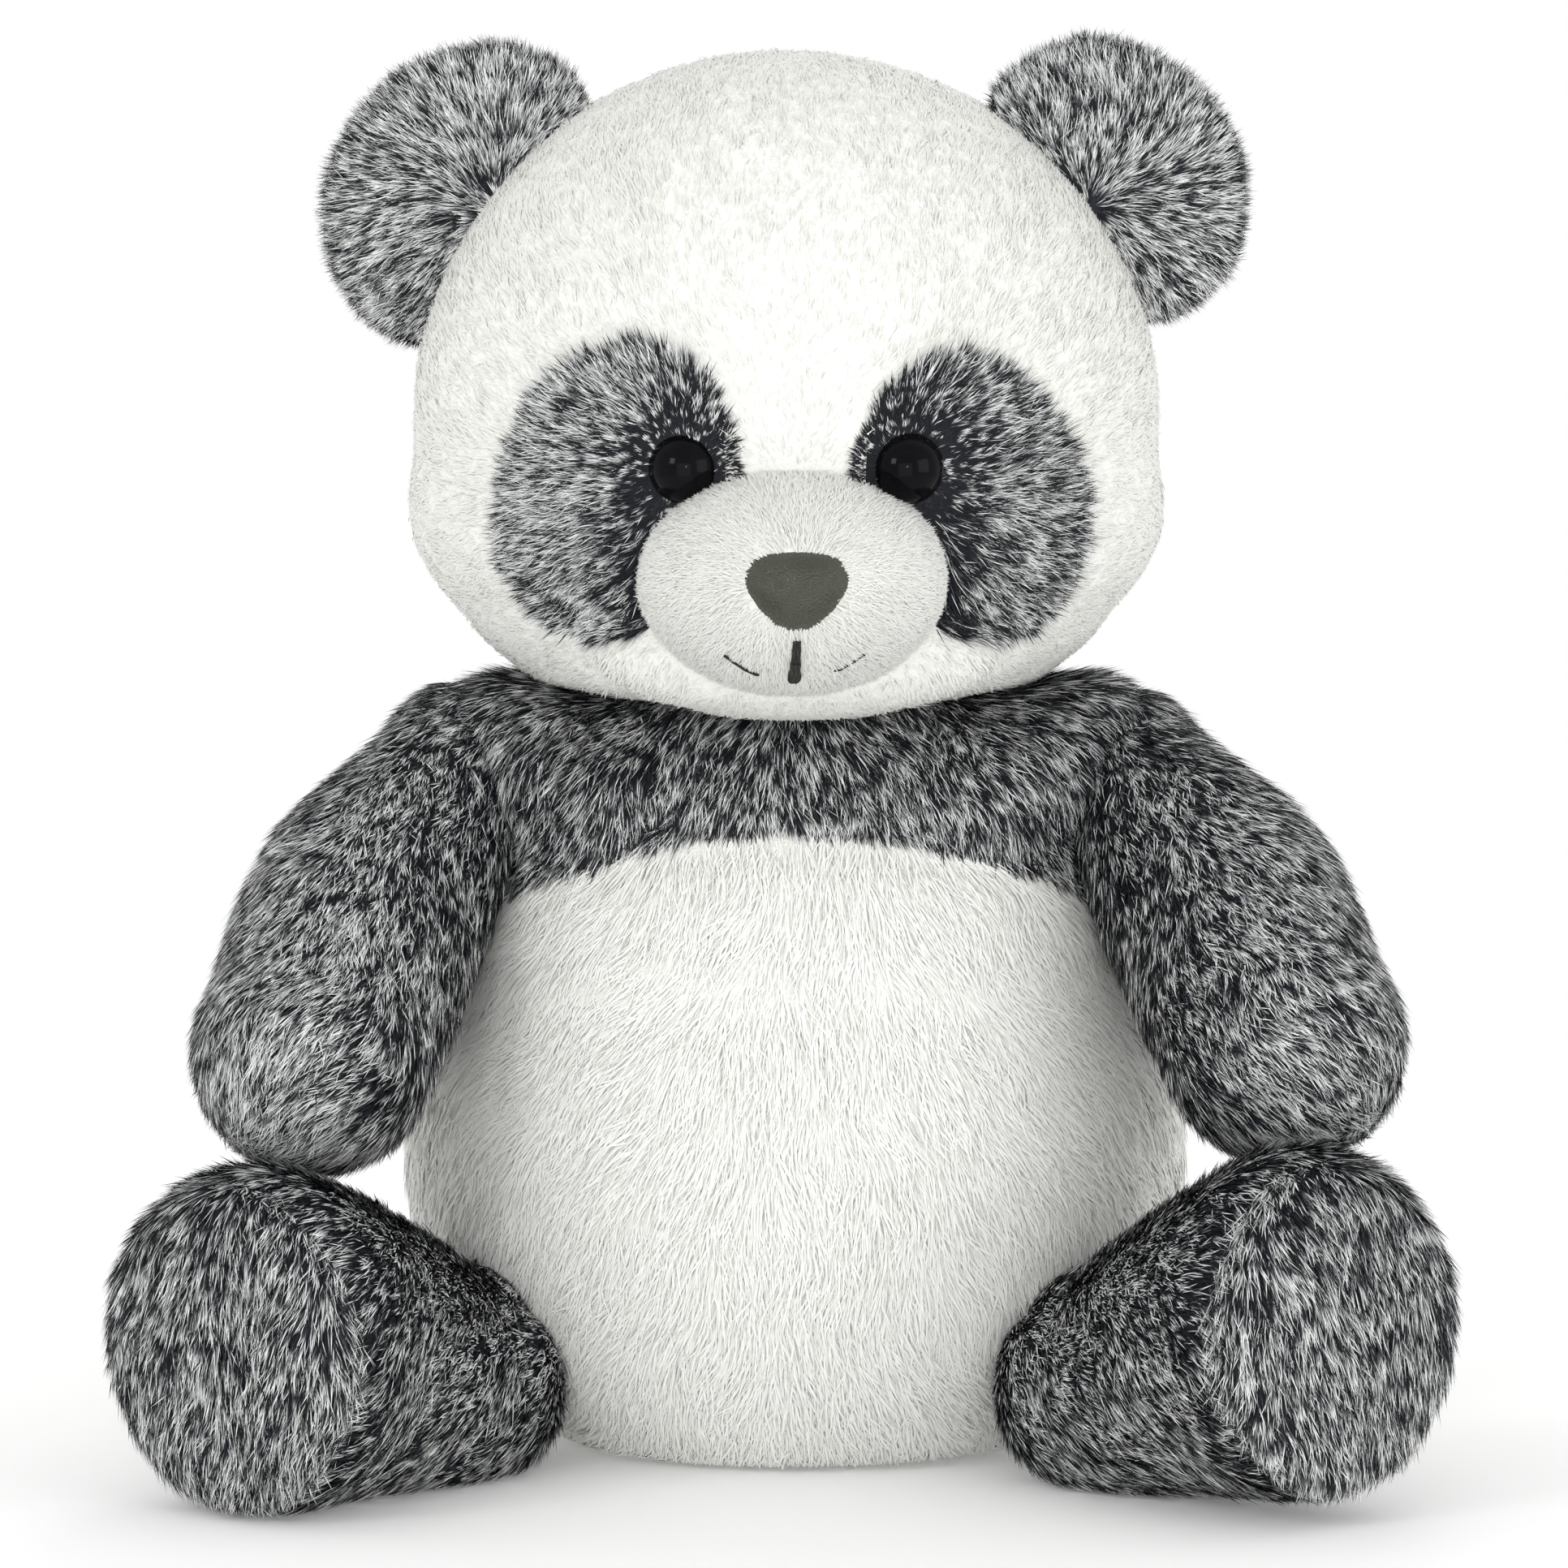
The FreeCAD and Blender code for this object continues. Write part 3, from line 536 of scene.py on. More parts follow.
def legRings():
    skip, sink, thigh, edge = leg["skip"], leg["sink"], leg["thigh"], leg["edge"]
    hip, foot = leg["hipRadius"], leg["footRadius"]
    rings = [(hip * math.sin(turn), skip - hip * math.cos(turn), 0, sink)
             for turn in np.linspace(0, math.pi / 2, 9)]
    rings += [(hip + (foot - hip) * share, skip + (thigh - skip) * share, 0, sink * (1 - share) ** 1.3)
              for share in np.linspace(0.08, 1, 9)]
    straight = thigh + leg["straight"]
    rings += [(foot - edge * (1 - math.cos(turn)), straight + edge * math.sin(turn), 0, 0)
              for turn in np.linspace(0, math.pi / 2, 8)]
    rings += [(11, straight + edge + leg["dome"] * 0.7, 0, 0), (0, straight + edge + leg["dome"], 0, 0)]
    return rings


def castBalls(name, shapes, levels=(), after=()):
    bm = bmesh.new()
    for shape in shapes:
        addBall(bm, shape)
    for level, above in levels:
        cutBelow(bm, level, above)
    for shape in after:
        addBall(bm, shape)
    return castSkin(name, bm, name.split("_")[0])


def makeSkins():
    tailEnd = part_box("tail_skin")[1].y / mm
    tailBall = ellipsoid((0, tailEnd - tail["radius"], tail["level"]), [tail["radius"] + 0.4] * 3)
    made = {
        "head_skin": castBalls("head_skin", [head["skull"], head["cheeks"], head["jowls"]],
                               [(head["neckLevel"], True)], [head["chin"]]),
        "muzzle_skin": castBalls("muzzle_skin", [head["muzzle"]]),
        "trunk_skin": castBalls("trunk_skin", [*trunkShapes, *trunk["shoulders"]],
                                [(trunk["seatLevel"], True), (trunk["neckLevel"], False)],
                                trunk["shoulderTops"]),
        "tail_pile_skin": castBalls("tail_pile_skin", [tailBall]),
    }
    for side, sign in sides.items():
        bm = bmesh.new()
        addTurned(bm, armRings(sign), armPlace[side])
        made[f"{side}_arm_skin"] = castSkin(f"{side}_arm_skin", bm, "arm")
        bm = bmesh.new()
        addTurned(bm, legRings(), legPlace[side])
        made[f"{side}_leg_skin"] = castSkin(f"{side}_leg_skin", bm, "leg")
        bm = bmesh.new()
        blade = bmesh.ops.create_icosphere(bm, subdivisions=4, radius=1)["verts"]
        radii = Matrix.Diagonal((*[r * mm for r in ear["radii"][side]], 1))
        lift = Matrix.Translation(Vector((ear["aside"][side], 0, ear["rise"][side])) * mm)
        bmesh.ops.transform(bm, matrix=lift @ radii, verts=blade)
        bmesh.ops.transform(bm, matrix=inMetres(earPlace[side]), verts=blade)
        made[f"{side}_ear_skin"] = castSkin(f"{side}_ear_skin", bm, "ear")
    return made


def inMetres(place):
    scaled = place.copy()
    scaled.translation = place.translation * mm
    return scaled


puff = {"pressure": 4.0, "frames": 14, "most": 1.6, "seamReach": 3.5, "mass": 0.2, "stretch": 20, "bend": 0.6}
seamDepth = {"trunk_skin": 1.0, "head_skin": 0.5, "arm": 0.6, "leg": 1.3, "ear": 0.2}
seam = {"seatHeight": 13, "gussetHalf": 17, "rimIn": 2, "thighLength": 50, "width": 2.4}


def localPoints(points, place):
    return (points - np.array(place.translation)) @ np.array(place.to_3x3())


def seamDistance(name, points):
    far = np.full(len(points), 1e3)
    if name == "trunk_skin":
        arch = np.abs(np.hypot(points[:, 0], points[:, 2] - trunk["archLevel"]) - trunk["archRadius"])
        back = np.where(points[:, 1] > 0, np.abs(points[:, 0]), far)
        seat = np.where(points[:, 1] > 0, np.abs(points[:, 2] - seam["seatHeight"]), far)
        return np.minimum(np.minimum(arch, back), seat)
    if name == "head_skin":
        return np.where(points[:, 1] > 0, np.abs(np.abs(points[:, 0]) - seam["gussetHalf"]), far)
    side, _, kind = name.partition("_")
    if kind == "arm_skin":
        return np.abs(localPoints(points, armPlace[side])[:, 0])
    if kind == "ear_skin":
        return np.abs(localPoints(points, earPlace[side])[:, 1])
    if kind == "leg_skin":
        local = localPoints(points, legPlace[side])
        rim = np.abs(local[:, 2] + leg["thigh"] + leg["straight"] + seam["rimIn"])
        return np.minimum(rim, np.where(local[:, 2] > -seam["thighLength"], np.abs(local[:, 1]), far))
    return far


def puffSkins(skins):
    starts = {}
    for name, form in skins.items():
        starts[name] = readPoints(form.data)
        near = seamDistance(name, starts[name])
        held = form.vertex_groups.new(name="seam")
        for index in np.nonzero(near < puff["seamReach"])[0]:
            held.add([int(index)], 1.0, "REPLACE")
        cloth = form.modifiers.new("cloth", "CLOTH").settings
        cloth.quality = 4
        cloth.mass = puff["mass"]
        cloth.tension_stiffness = cloth.compression_stiffness = puff["stretch"]
        cloth.bending_stiffness = puff["bend"]
        cloth.use_pressure = True
        cloth.uniform_pressure_force = puff["pressure"]
        cloth.effector_weights.gravity = 0
        cloth.vertex_group_mass = "seam"
    for number in range(1, puff["frames"] + 1):
        scene.frame_set(number)
    depsgraph = bpy.context.evaluated_depsgraph_get()
    for name, form in skins.items():
        swollen = readPoints(form.evaluated_get(depsgraph).data)
        move = swollen - starts[name]
        length = np.linalg.norm(move, axis=1, keepdims=True)
        move *= np.minimum(1, puff["most"] / np.maximum(length, 1e-6))
        form.modifiers.clear()
        form.vertex_groups.clear()
        writePoints(form.data, starts[name] + move)
    scene.frame_set(1)


def readNormals(mesh):
    normals = np.empty(len(mesh.vertices) * 3)
    mesh.vertices.foreach_get("normal", normals)
    return normals.reshape(-1, 3)


def drawSeams(skins):
    for name, form in skins.items():
        points = readPoints(form.data)
        depth = seamDepth.get(name, seamDepth.get(name.split("_")[1], 0))
        pull = depth * np.exp(-(seamDistance(name, points) / seam["width"]) ** 2)
        points -= readNormals(form.data) * pull[:, None]
        if name == "trunk_skin":
            points = outOf(points, [*armShape.values(), *legShape.values()], 0.5)
        if "leg" in name or name == "trunk_skin":
            points[:, 2] = np.maximum(points[:, 2], 0.5)
        writePoints(form.data, points)


skins = makeSkins()
print("skins cast:", {name: len(form.data.vertices) for name, form in skins.items()})
puffSkins(skins)
print("skins puffed up by cloth pressure")
drawSeams(skins)


# pile: tapered strands rooted on a skin

def skinTriangles(form):
    mesh = form.data
    mesh.calc_loop_triangles()
    corners = np.empty(len(mesh.loop_triangles) * 3, np.int64)
    mesh.loop_triangles.foreach_get("vertices", corners)
    return readPoints(mesh), readNormals(mesh), corners.reshape(-1, 3)


def scatter(form, perArea, region, rng):
    points, normals, corners = skinTriangles(form)
    a, b, c = (points[corners[:, n]] for n in range(3))
    area = np.linalg.norm(np.cross(b - a, c - a), axis=1) / 2
    count = rng.poisson(area.sum() * perArea)
    chosen = rng.choice(len(corners), size=count, p=area / area.sum())
    s, t = rng.random(count), rng.random(count)
    over = s + t > 1
    s[over], t[over] = 1 - s[over], 1 - t[over]
    share = np.stack([1 - s - t, s, t], axis=1)[:, :, None]
    roots = (points[corners[chosen]] * share).sum(axis=1)
    facing = unit((normals[corners[chosen]] * share).sum(axis=1))
    keep = region(roots)
    return roots[keep], facing[keep]


def turnedAbout(vectors, axes, angles):
    cosine, sine = np.cos(angles)[:, None], np.sin(angles)[:, None]
    along = (vectors * axes).sum(axis=1, keepdims=True)
    return vectors * cosine + np.cross(axes, vectors) * sine + axes * along * (1 - cosine)


def tangent(vectors, normals):
    return unit(vectors - normals * (vectors * normals).sum(axis=1, keepdims=True))


def gather(places, tips, middles, style, rng):
    each = style["tuft"]
    leaders = np.arange(0, len(places), each)
    tree = kdtree.KDTree(len(leaders))
    for number, index in enumerate(leaders):
        tree.insert(places[index], number)
    tree.balance()
    owner = leaders[np.fromiter((tree.find(place)[1] for place in places), np.int64, len(places))]
    share = style["gather"] * rng.uniform(0.5, 1.0, len(places))[:, None]
    reach = style["length"] * 0.45
    for moved, part in ((tips, 1.0), (middles, 0.4)):
        pull = moved[owner] - moved
        length = np.linalg.norm(pull, axis=1, keepdims=True)
        moved += pull * np.minimum(1, reach / np.maximum(length, 1e-6)) * share * part
    return owner


strand = {"rootDepth": 0.3, "bend": 0.45, "taper": 0.85, "riseSpread": 6, "turnSpread": 22, "leastRoom": 0.35,
          "offFloor": 0.15, "floorSpread": 0.4, "patches": 5, "patchShare": 0.18, "swirlSize": 9,
          "facing": 0.92, "facingAcross": 0.05}


def leaned(starts, normals, along, angle, length):
    return starts + (normals * np.sin(angle)[:, None] + along * np.cos(angle)[:, None]) * length[:, None]


def growPile(name, form, style, region, comb, shade, neighbours=()):
    rng = np.random.default_rng(style["seed"])
    perArea = style["perArea"] * 1
    width = style["width"] * 1
    roots, normals = scatter(form, perArea, region, rng)
    count = len(roots)
    along = tangent(comb(roots), normals)
    swirl = softNoise(roots, strand["swirlSize"], style["seed"]) * style["swirl"]
    swirl = swirl + rng.normal(0, style["stray"], count)
    along = turnedAbout(along, normals, np.radians(swirl))
    length = style["length"] * rng.uniform(1 - style["uneven"], 1 + style["uneven"], count)
    length *= 1 + strand["patchShare"] * softNoise(roots, strand["patches"], style["seed"] + 1)
    if "lengthAt" in style:
        length *= style["lengthAt"](roots)
    rise = np.radians(style["rise"] + rng.normal(0, strand["riseSpread"], count))
    starts = roots - normals * strand["rootDepth"]
    middles = leaned(starts, normals, along, rise, strand["bend"] * length)
    tips = leaned(middles, normals, along, rise * style["lie"], (1 - strand["bend"]) * length)
    owner = gather(roots, tips, middles, style, rng)
    if neighbours:
        room = np.minimum(clearance(roots + normals * 0.2, neighbours), clearance(tips, neighbours))
        room = np.clip(room, strand["leastRoom"], None)
        for moved in (middles, tips):
            height = ((moved - roots) * normals).sum(axis=1)
            moved -= normals * np.maximum(height - room, 0)[:, None]
    for moved in (middles, tips):
        moved[:, 2] = np.maximum(moved[:, 2], strand["offFloor"] + strand["floorSpread"] * rng.random(count))

    across = unit(np.cross(tips - starts, normals))
    turn = np.radians(rng.normal(0, strand["turnSpread"], count))
    half = turnedAbout(across, unit(tips - starts), turn)
    half = half * (width / 2 * rng.uniform(0.75, 1.2, count))[:, None]
    waist = half * strand["taper"]
    corners = np.stack([starts - half, starts + half, middles + waist, middles - waist, tips], axis=1)
    tone = shade(roots) + style["mottle"] * softNoise(roots + tips * 0.5, style["fleck"], style["seed"] + 2)
    tone = tone + 0.5 * style["mottle"] * (rng.random(count) - 0.5)
    tone = 0.75 * tone + 0.25 * tone[owner]
    return makeStrands(name, corners, normals, np.clip(tone, 0, 1))


def makeStrands(name, corners, normals, tone):
    count = len(corners)
    mesh = bpy.data.meshes.new(name)
    mesh.vertices.add(count * 5)
    mesh.vertices.foreach_set("co", (corners * mm).ravel())
    base = np.arange(count)[:, None] * 5
    loops = base + np.array([0, 1, 2, 3, 3, 2, 4])
    mesh.loops.add(count * 7)
    mesh.loops.foreach_set("vertex_index", loops.ravel().astype(np.int32))
    mesh.polygons.add(count * 2)
    begins = np.arange(count)[:, None] * 7 + np.array([0, 4])
    mesh.polygons.foreach_set("loop_start", begins.ravel().astype(np.int32))
    mesh.update(calc_edges=True)
    strip = pileMap["across"]
    left = tone * (1 - 2 * strip) + strip / 2
    u = np.stack([left, left + strip, left + strip, left, left, left + strip, left + strip / 2], axis=1)
    v = np.tile(np.array([0, 0, *[strand["bend"]] * 4, 1]) * pileMap["top"], (count, 1))
    places = mesh.uv_layers.new(name=pileMap["name"])
    places.data.foreach_set("uv", np.stack([u, v], axis=2).ravel())
    mesh.shade_smooth()
    lie = unit(tangent(corners[:, 4] - corners[:, 0], normals))
    beside = np.cross(np.cross(lie, normals), lie)
    facing = unit(normals * strand["facing"] + beside * strand["facingAcross"])
    mesh.normals_split_custom_set_from_vertices(np.repeat(facing, 5, axis=0))
    return addForm(name, mesh)


def dress(piece, finish, body, slotName, *nodes):
    piece.data.materials.clear()
    piece.data.materials.append(finishes[finish])
    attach(piece, body)
    if nodes:
        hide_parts(*nodes)


pile = {
    "head": dict(perArea=2.7, length=3.3, uneven=0.25, rise=14, lie=0.2, width=0.40, tuft=8, gather=0.25,
                 swirl=18, stray=16, mottle=0.35, fleck=1.6, seed=11),
    "muzzle": dict(perArea=9.0, length=2.7, uneven=0.35, rise=27, lie=0.5, width=0.26, tuft=8, gather=0.4,
                   swirl=24, stray=22, mottle=0.35, fleck=1.2, seed=12),
    "patch": dict(perArea=15.0, length=4.6, uneven=0.4, rise=28, lie=0.5, width=0.24, tuft=7, gather=0.4,
                  swirl=24, stray=16, mottle=0.85, fleck=0.85, seed=13),
    "ear": dict(perArea=11.0, length=4.6, uneven=0.4, rise=28, lie=0.5, width=0.25, tuft=7, gather=0.4,
                swirl=28, stray=16, mottle=0.85, fleck=0.9, seed=14),
    "yoke": dict(perArea=8.0, length=5.2, uneven=0.4, rise=26, lie=0.45, width=0.27, tuft=8, gather=0.4,
                 swirl=26, stray=16, mottle=0.85, fleck=0.9, seed=15),
    "belly": dict(perArea=3.2, length=6.6, uneven=0.35, rise=11, lie=0.1, width=0.38, tuft=12, gather=0.45,
                  swirl=28, stray=15, mottle=0.35, fleck=2.4, seed=16),
    "arm": dict(perArea=5.55, length=5.0, uneven=0.4, rise=24, lie=0.45, width=0.28, tuft=8, gather=0.4,
                swirl=26, stray=16, mottle=0.85, fleck=0.9, seed=17),
    "leg": dict(perArea=5.1, length=5.0, uneven=0.4, rise=24, lie=0.45, width=0.29, tuft=8, gather=0.4,
                swirl=26, stray=16, mottle=0.85, fleck=0.9, seed=18),
    "tail": dict(perArea=3.5, length=8.0, uneven=0.3, rise=28, lie=0.4, width=0.40, tuft=12, gather=0.5,
                 swirl=20, stray=14, mottle=0.5, fleck=2.0, seed=19),
}
face = {
    "eyes": {side: np.array((sign * 18.8, -51.2, 171.6)) for side, sign in sides.items()},
    "eyeTurn": 15.6,
    "eyeRoom": 4.6,
    "patchCentre": {"left": (29.2, 166.5), "right": (28.5, 165.4)},
    "patchRadii": {"left": (18.6, 24.3), "right": (17.9, 23.3)},
    "patchLean": 18,
    "nose": np.array((0, -70, 152.7)),
}


def ramp(values, low, high):
    share = np.clip((values - low) / (high - low), 0, 1)
    return share * share * (3 - 2 * share)


def inPatch(points, side, grow=0.0):
    sign = sides[side]
    lean = math.radians(face["patchLean"])
    x = points[:, 0] - sign * face["patchCentre"][side][0]
    z = points[:, 2] - face["patchCentre"][side][1]
    wide, tall = face["patchRadii"][side]
    across = x * math.cos(lean) + sign * z * math.sin(lean)
    upward = -sign * x * math.sin(lean) + z * math.cos(lean)
    edge = 0.5 * softNoise(points, 3, 31)
    size = np.hypot(across / (wide + grow + edge), upward / (tall + grow + edge))
    return (size < 1) & (points[:, 1] < 0)


def outsideEyes(points, gap):
    return np.minimum(*(np.linalg.norm(points - eye, axis=1) for eye in face["eyes"].values())) > gap


def headComb(points):
    outward = unit(points - np.array((0, -50, 166)))
    outward[:, 2] += 0.35 * ramp(points[:, 2], 170, 200)
    behind = ramp(points[:, 1], -20, 25)[:, None]
    return outward * (1 - behind) + np.array((0, 0.15, -1)) * behind


def headRegion(points):
    hidden = distanceTo(points, head["muzzle"]) < 0.5
    return ~(hidden | inPatch(points, "left") | inPatch(points, "right"))


def muzzleRegion(points):
    free = clearance(points, [head["skull"], head["cheeks"]]) > -0.6
    stud = np.hypot(points[:, 0] / 7.2, (points[:, 2] - face["nose"][2] - 0.6) / 4.8) > 1
    return free & (stud | (points[:, 1] > -60))


armShapes, legShapes = list(armShape.values()), list(legShape.values())


def plain(value):
    return lambda points: np.full(len(points), value)


def growHead():
    skin = skins["head_skin"]
    style = dict(pile["head"],
                 lengthAt=lambda p: 0.75 + 0.25 * ramp(np.abs(p[:, 0]) + p[:, 1] + 60, 10, 60))
    split = head["backFrom"]
    white = growPile("head_white_pile", skin, style, lambda p: headRegion(p) & (p[:, 1] < split),
                     headComb, plain(0.62))
    dress(white, "dimmedWhitePile", "head", "white_pile")
    white = growPile("head_back_pile", skin, dict(style, **head["backPile"]),
                     lambda p: (p[:, 1] >= split) & (p[:, 2] > head["nape"]), headComb, plain(0.62))
    dress(white, "dimmedWhitePile", "head", "white_pile")
    muzzle = growPile("muzzle_pile", skins["muzzle_skin"], pile["muzzle"], muzzleRegion,
                      lambda p: unit(p - face["nose"]) + np.array((0, 0, -0.15)), plain(0.66))
    dress(muzzle, "dimmedWhitePile", "head", "white_pile")
    for side, sign in sides.items():
        eye = face["eyes"][side]

        def region(points, side=side):
            hidden = distanceTo(points, head["muzzle"]) < 0.2
            return inPatch(points, side) & ~hidden & outsideEyes(points, face["eyeRoom"])

        def comb(points, eye=eye, sign=sign):
            return unit(points - eye) + np.array((sign * 0.25, 0, 0.2))

        def tone(points, eye=eye, sign=sign):
            near = np.linalg.norm(points - eye, axis=1)
            beside = distanceTo(points, head["muzzle"])
            # painted shade: the strands are darker close to the eye and next to the muzzle, where the patch
            # meets them, and the right patch is darker all over, on the side away from the key light
            return 0.47 - 0.045 * sign - 0.30 * (1 - ramp(near, 6, 14)) - 0.22 * (1 - ramp(beside, 1, 8))

        style = dict(pile["patch"], seed=pile["patch"]["seed"] + 40 * (sign + 2),
                     lengthAt=lambda p, eye=eye: 0.35 + 0.65 * ramp(np.linalg.norm(p - eye, axis=1), 6, 16))
        patch = growPile(f"{side}_patch_pile", skin, style, region, comb, tone)
        dress(patch, "greyPile", "head", "grey_pile", f"{side}_eye_patch")


def growEars():
    for side, sign in sides.items():
        place = earPlace[side]
        root = np.array(place.translation)
        style = dict(pile["ear"], seed=pile["ear"]["seed"] + 40 * (sign + 2))
        # painted light: the ear pile is lighter towards the top of the ear, where the light falls from above
        made = growPile(f"{side}_ear_pile", skins[f"{side}_ear_skin"], style,
                        lambda p: clearance(p, headShapes) > -2.5, lambda p, root=root: unit(p - root),
                        lambda p: 0.51 + 0.04 * ramp(p[:, 2], 215, 240), headShapes)
        dress(made, "greyPile", f"{side}_ear", "grey_pile")


def aboveArch(points):
    wave = 0.8 * softNoise(points, 4, 41)
    return np.hypot(points[:, 0], points[:, 2] - trunk["archLevel"]) > trunk["archRadius"] + wave


def yokeRegion(points):
    return aboveArch(points) & ((points[:, 2] < 131) | (np.abs(points[:, 0]) > 40))


def growTrunk():
    skin = skins["trunk_skin"]
    others = armShapes + legShapes + headShapes[1:]

    def yokeShadedTone(points):
        # painted shade: the yoke pile is darker from the shoulders up to the neck, under the head
        return 0.38 + 0.05 * (1 - ramp(points[:, 2], 106, 114))

    def bellyRegion(points):
        return ~aboveArch(points) & (points[:, 2] > 1)

    def grow(name, kind, front, perArea, region, fan, tone):
        style = dict(pile[kind], seed=pile[kind]["seed"] + 60 * front, perArea=perArea)
        return growPile(name, skin, style, lambda p: region(p) & ((p[:, 1] < 0) == front),
                        lambda p: np.stack([p[:, 0] * fan, 0 * p[:, 0], -np.ones(len(p))], axis=1),
                        tone, others)

    for name, front, perArea in (("yoke_pile", True, 8.0), ("back_yoke_pile", False, 6.0)):
        yoke = grow(name, "yoke", front, perArea, yokeRegion, 0.012, yokeShadedTone)
        dress(yoke, "greyPile", "torso", "grey_pile")
    for name, front, perArea in (("belly_pile", True, 3.2), ("back_pile", False, 2.2)):
        belly = grow(name, "belly", front, perArea, bellyRegion, 0.016, plain(0.7))
        dress(belly, "brightenedWhitePile", "torso", "white_pile")
    made = growPile("tail_pile", skins["tail_pile_skin"], pile["tail"],
                    lambda p: clearance(p, trunkShapes) > -2,
                    lambda p: unit(p - np.array((0, 44, 30))) + np.array((0, 0.2, -0.3)), plain(0.6),
                    trunkShapes)
    dress(made, "brightenedWhitePile", "torso", "white_pile")


def growLimbs():
    for side, sign in sides.items():
        axis = np.array(armPlace[side].to_3x3() @ Vector((0, 0, -1)))
        style = dict(pile["arm"], seed=pile["arm"]["seed"] + 40 * (sign + 2))
        combed = axis + np.array((sign * 0.45, 0, -0.35))

        def armShadedTone(points, sign=sign):
            # painted shade: the arm pile is darker on its inner side next to the body, and the right arm is
            # darker all over, on the side away from the key light
            return 0.535 - 0.03 * sign - 0.17 * (1 - ramp(sign * points[:, 0], 58, 78))

        made = growPile(f"{side}_arm_pile", skins[f"{side}_arm_skin"], style, lambda p: p[:, 2] > -1,
                        lambda p, combed=combed: combed, armShadedTone,
                        trunkShapes + [legShape[side], head["cheeks"]])
        dress(made, "greyPile", f"{side}_arm", "grey_pile")
        place = legPlace[side]
        axis = np.array(place.to_3x3() @ Vector((0, 0, -1)))
        hip = np.array(place.translation)

        def comb(points, axis=axis, hip=hip):
            sole = ramp((points - hip) @ axis, 55, 61)[:, None]
            return (axis + np.array((0, 0, -0.35))) * (1 - sole) + np.array((0, 0, -1)) * sole

        def tone(points, axis=axis, hip=hip):
            reach = (points - hip) @ axis
            return 0.47 - 0.12 * np.exp(-((reach - 54) / 3) ** 2)

        style = dict(pile["leg"], seed=pile["leg"]["seed"] + 40 * (sign + 2))
        made = growPile(f"{side}_leg_pile", skins[f"{side}_leg_skin"], style,
                        lambda p: (p[:, 2] > 0.6) & (clearance(p, trunkShapes) > -2), comb, tone,
                        trunkShapes + [armShape[side]])
        dress(made, "greyPile", f"{side}_leg", "grey_pile")


growHead()
growEars()
growTrunk()
growLimbs()


# the skins stand for the sewn panels

panels = {                         # skin: body and the sewn panels that it stands for
    "head_skin": ("head", "head_gusset", "left_cheek_panel", "right_cheek_panel", "left_head_back_panel",
                  "right_head_back_panel"),
    "muzzle_skin": ("head", "muzzle_panel"),
    "trunk_skin": ("torso", "belly_panel", "seat_panel", "left_back_panel", "right_back_panel",
                   "chest_yoke_panel", "back_yoke_panel"),
    "tail_pile_skin": ("torso", "tail_skin"),
}
limbPanels = {"arm": ("arm_outer_panel", "arm_inner_panel"),
              "leg": ("leg_upper_panel", "leg_under_panel", "sole_panel"),
              "ear": ("ear_front_panel", "ear_back_panel")}


def dressSkins():
    for name, (body, *nodes) in panels.items():
        dress(skins[name], "whiteBacking", body, "white_pile", *nodes)
    paintPart(skins["trunk_skin"], "greyBacking", aboveArch)
    paintPart(skins["head_skin"], "greyBacking",
               lambda p: inPatch(p, "left", -0.6) | inPatch(p, "right", -0.6))
    for side in sides:
        for kind, nodes in limbPanels.items():
            dress(skins[f"{side}_{kind}_skin"], "greyBacking", f"{side}_{kind}", "grey_pile",
                  *(f"{side}_{node}" for node in nodes))


def paintPart(form, finish, region):
    form.data.materials.append(finishes[finish])
    centres = np.empty(len(form.data.polygons) * 3)
    form.data.polygons.foreach_get("center", centres)
    chosen = region(centres.reshape(-1, 3) / mm)
    form.data.polygons.foreach_set("material_index", chosen.astype(np.int32))


dressSkins()


# fillings: lumpy fibre inside each skin, and the bean bags

def keepInside(points, skin, gap):
    tree = BVHTree.FromPolygons([v.co.copy() for v in skin.data.vertices],
                                [p.vertices[:] for p in skin.data.polygons])
    for index, point in enumerate(points):
        nearest, normal, _, _ = tree.find_nearest(Vector(point) * mm)
        if (Vector(point) * mm - nearest).dot(normal) > -gap * mm:
            points[index] = (nearest - normal * gap * mm) / mm
    return points


filling = {"smoothing": 6, "lumpSize": 7, "lumpSeed": 51, "lump": 0.8, "gap": 1.8}


def lumpFilling(node, body, skinName, finish, slotName, voxel, depth):
    form = evenOut(addForm(node + "_fibre", frame["nodes"][node].data.copy()), voxel, filling["smoothing"])
    points = readPoints(form.data)
    lumps = filling["lump"] * (1 + softNoise(points, filling["lumpSize"], filling["lumpSeed"]))
    points -= readNormals(form.data) * (depth * lumps)[:, None]
    writePoints(form.data, keepInside(points, skins[skinName], filling["gap"]))
    dress(form, finish, body, slotName, node)


fillings = {"torso_stuffing": ("torso", "trunk"), "head_stuffing": ("head", "head"),
            "tail_wadding": ("torso", "tail_pile")}
bags = {"torso_bean_bag": ("torso", "trunk")}
for side in sides:
    for kind, thing in (("arm", "stuffing"), ("leg", "stuffing"), ("ear", "wadding")):
        fillings[f"{side}_{kind}_{thing}"] = (f"{side}_{kind}", f"{side}_{kind}")
    bags[f"{side}_foot_bean_bag"] = (f"{side}_leg", f"{side}_leg")
for node, (body, skin) in fillings.items():
    voxel = 2.0 if "ear" in node or "tail" in node else 3.5
    lumpFilling(node, body, skin + "_skin", "fillingFibre", "filling", voxel, 0.6)
for node, (body, skin) in bags.items():
    lumpFilling(node, body, skin + "_skin", "bagCloth", "bean_bag_cloth", 2.0, 0.3)
print("fillings made")

# eyes, nose, embroidery, closing stitches and label

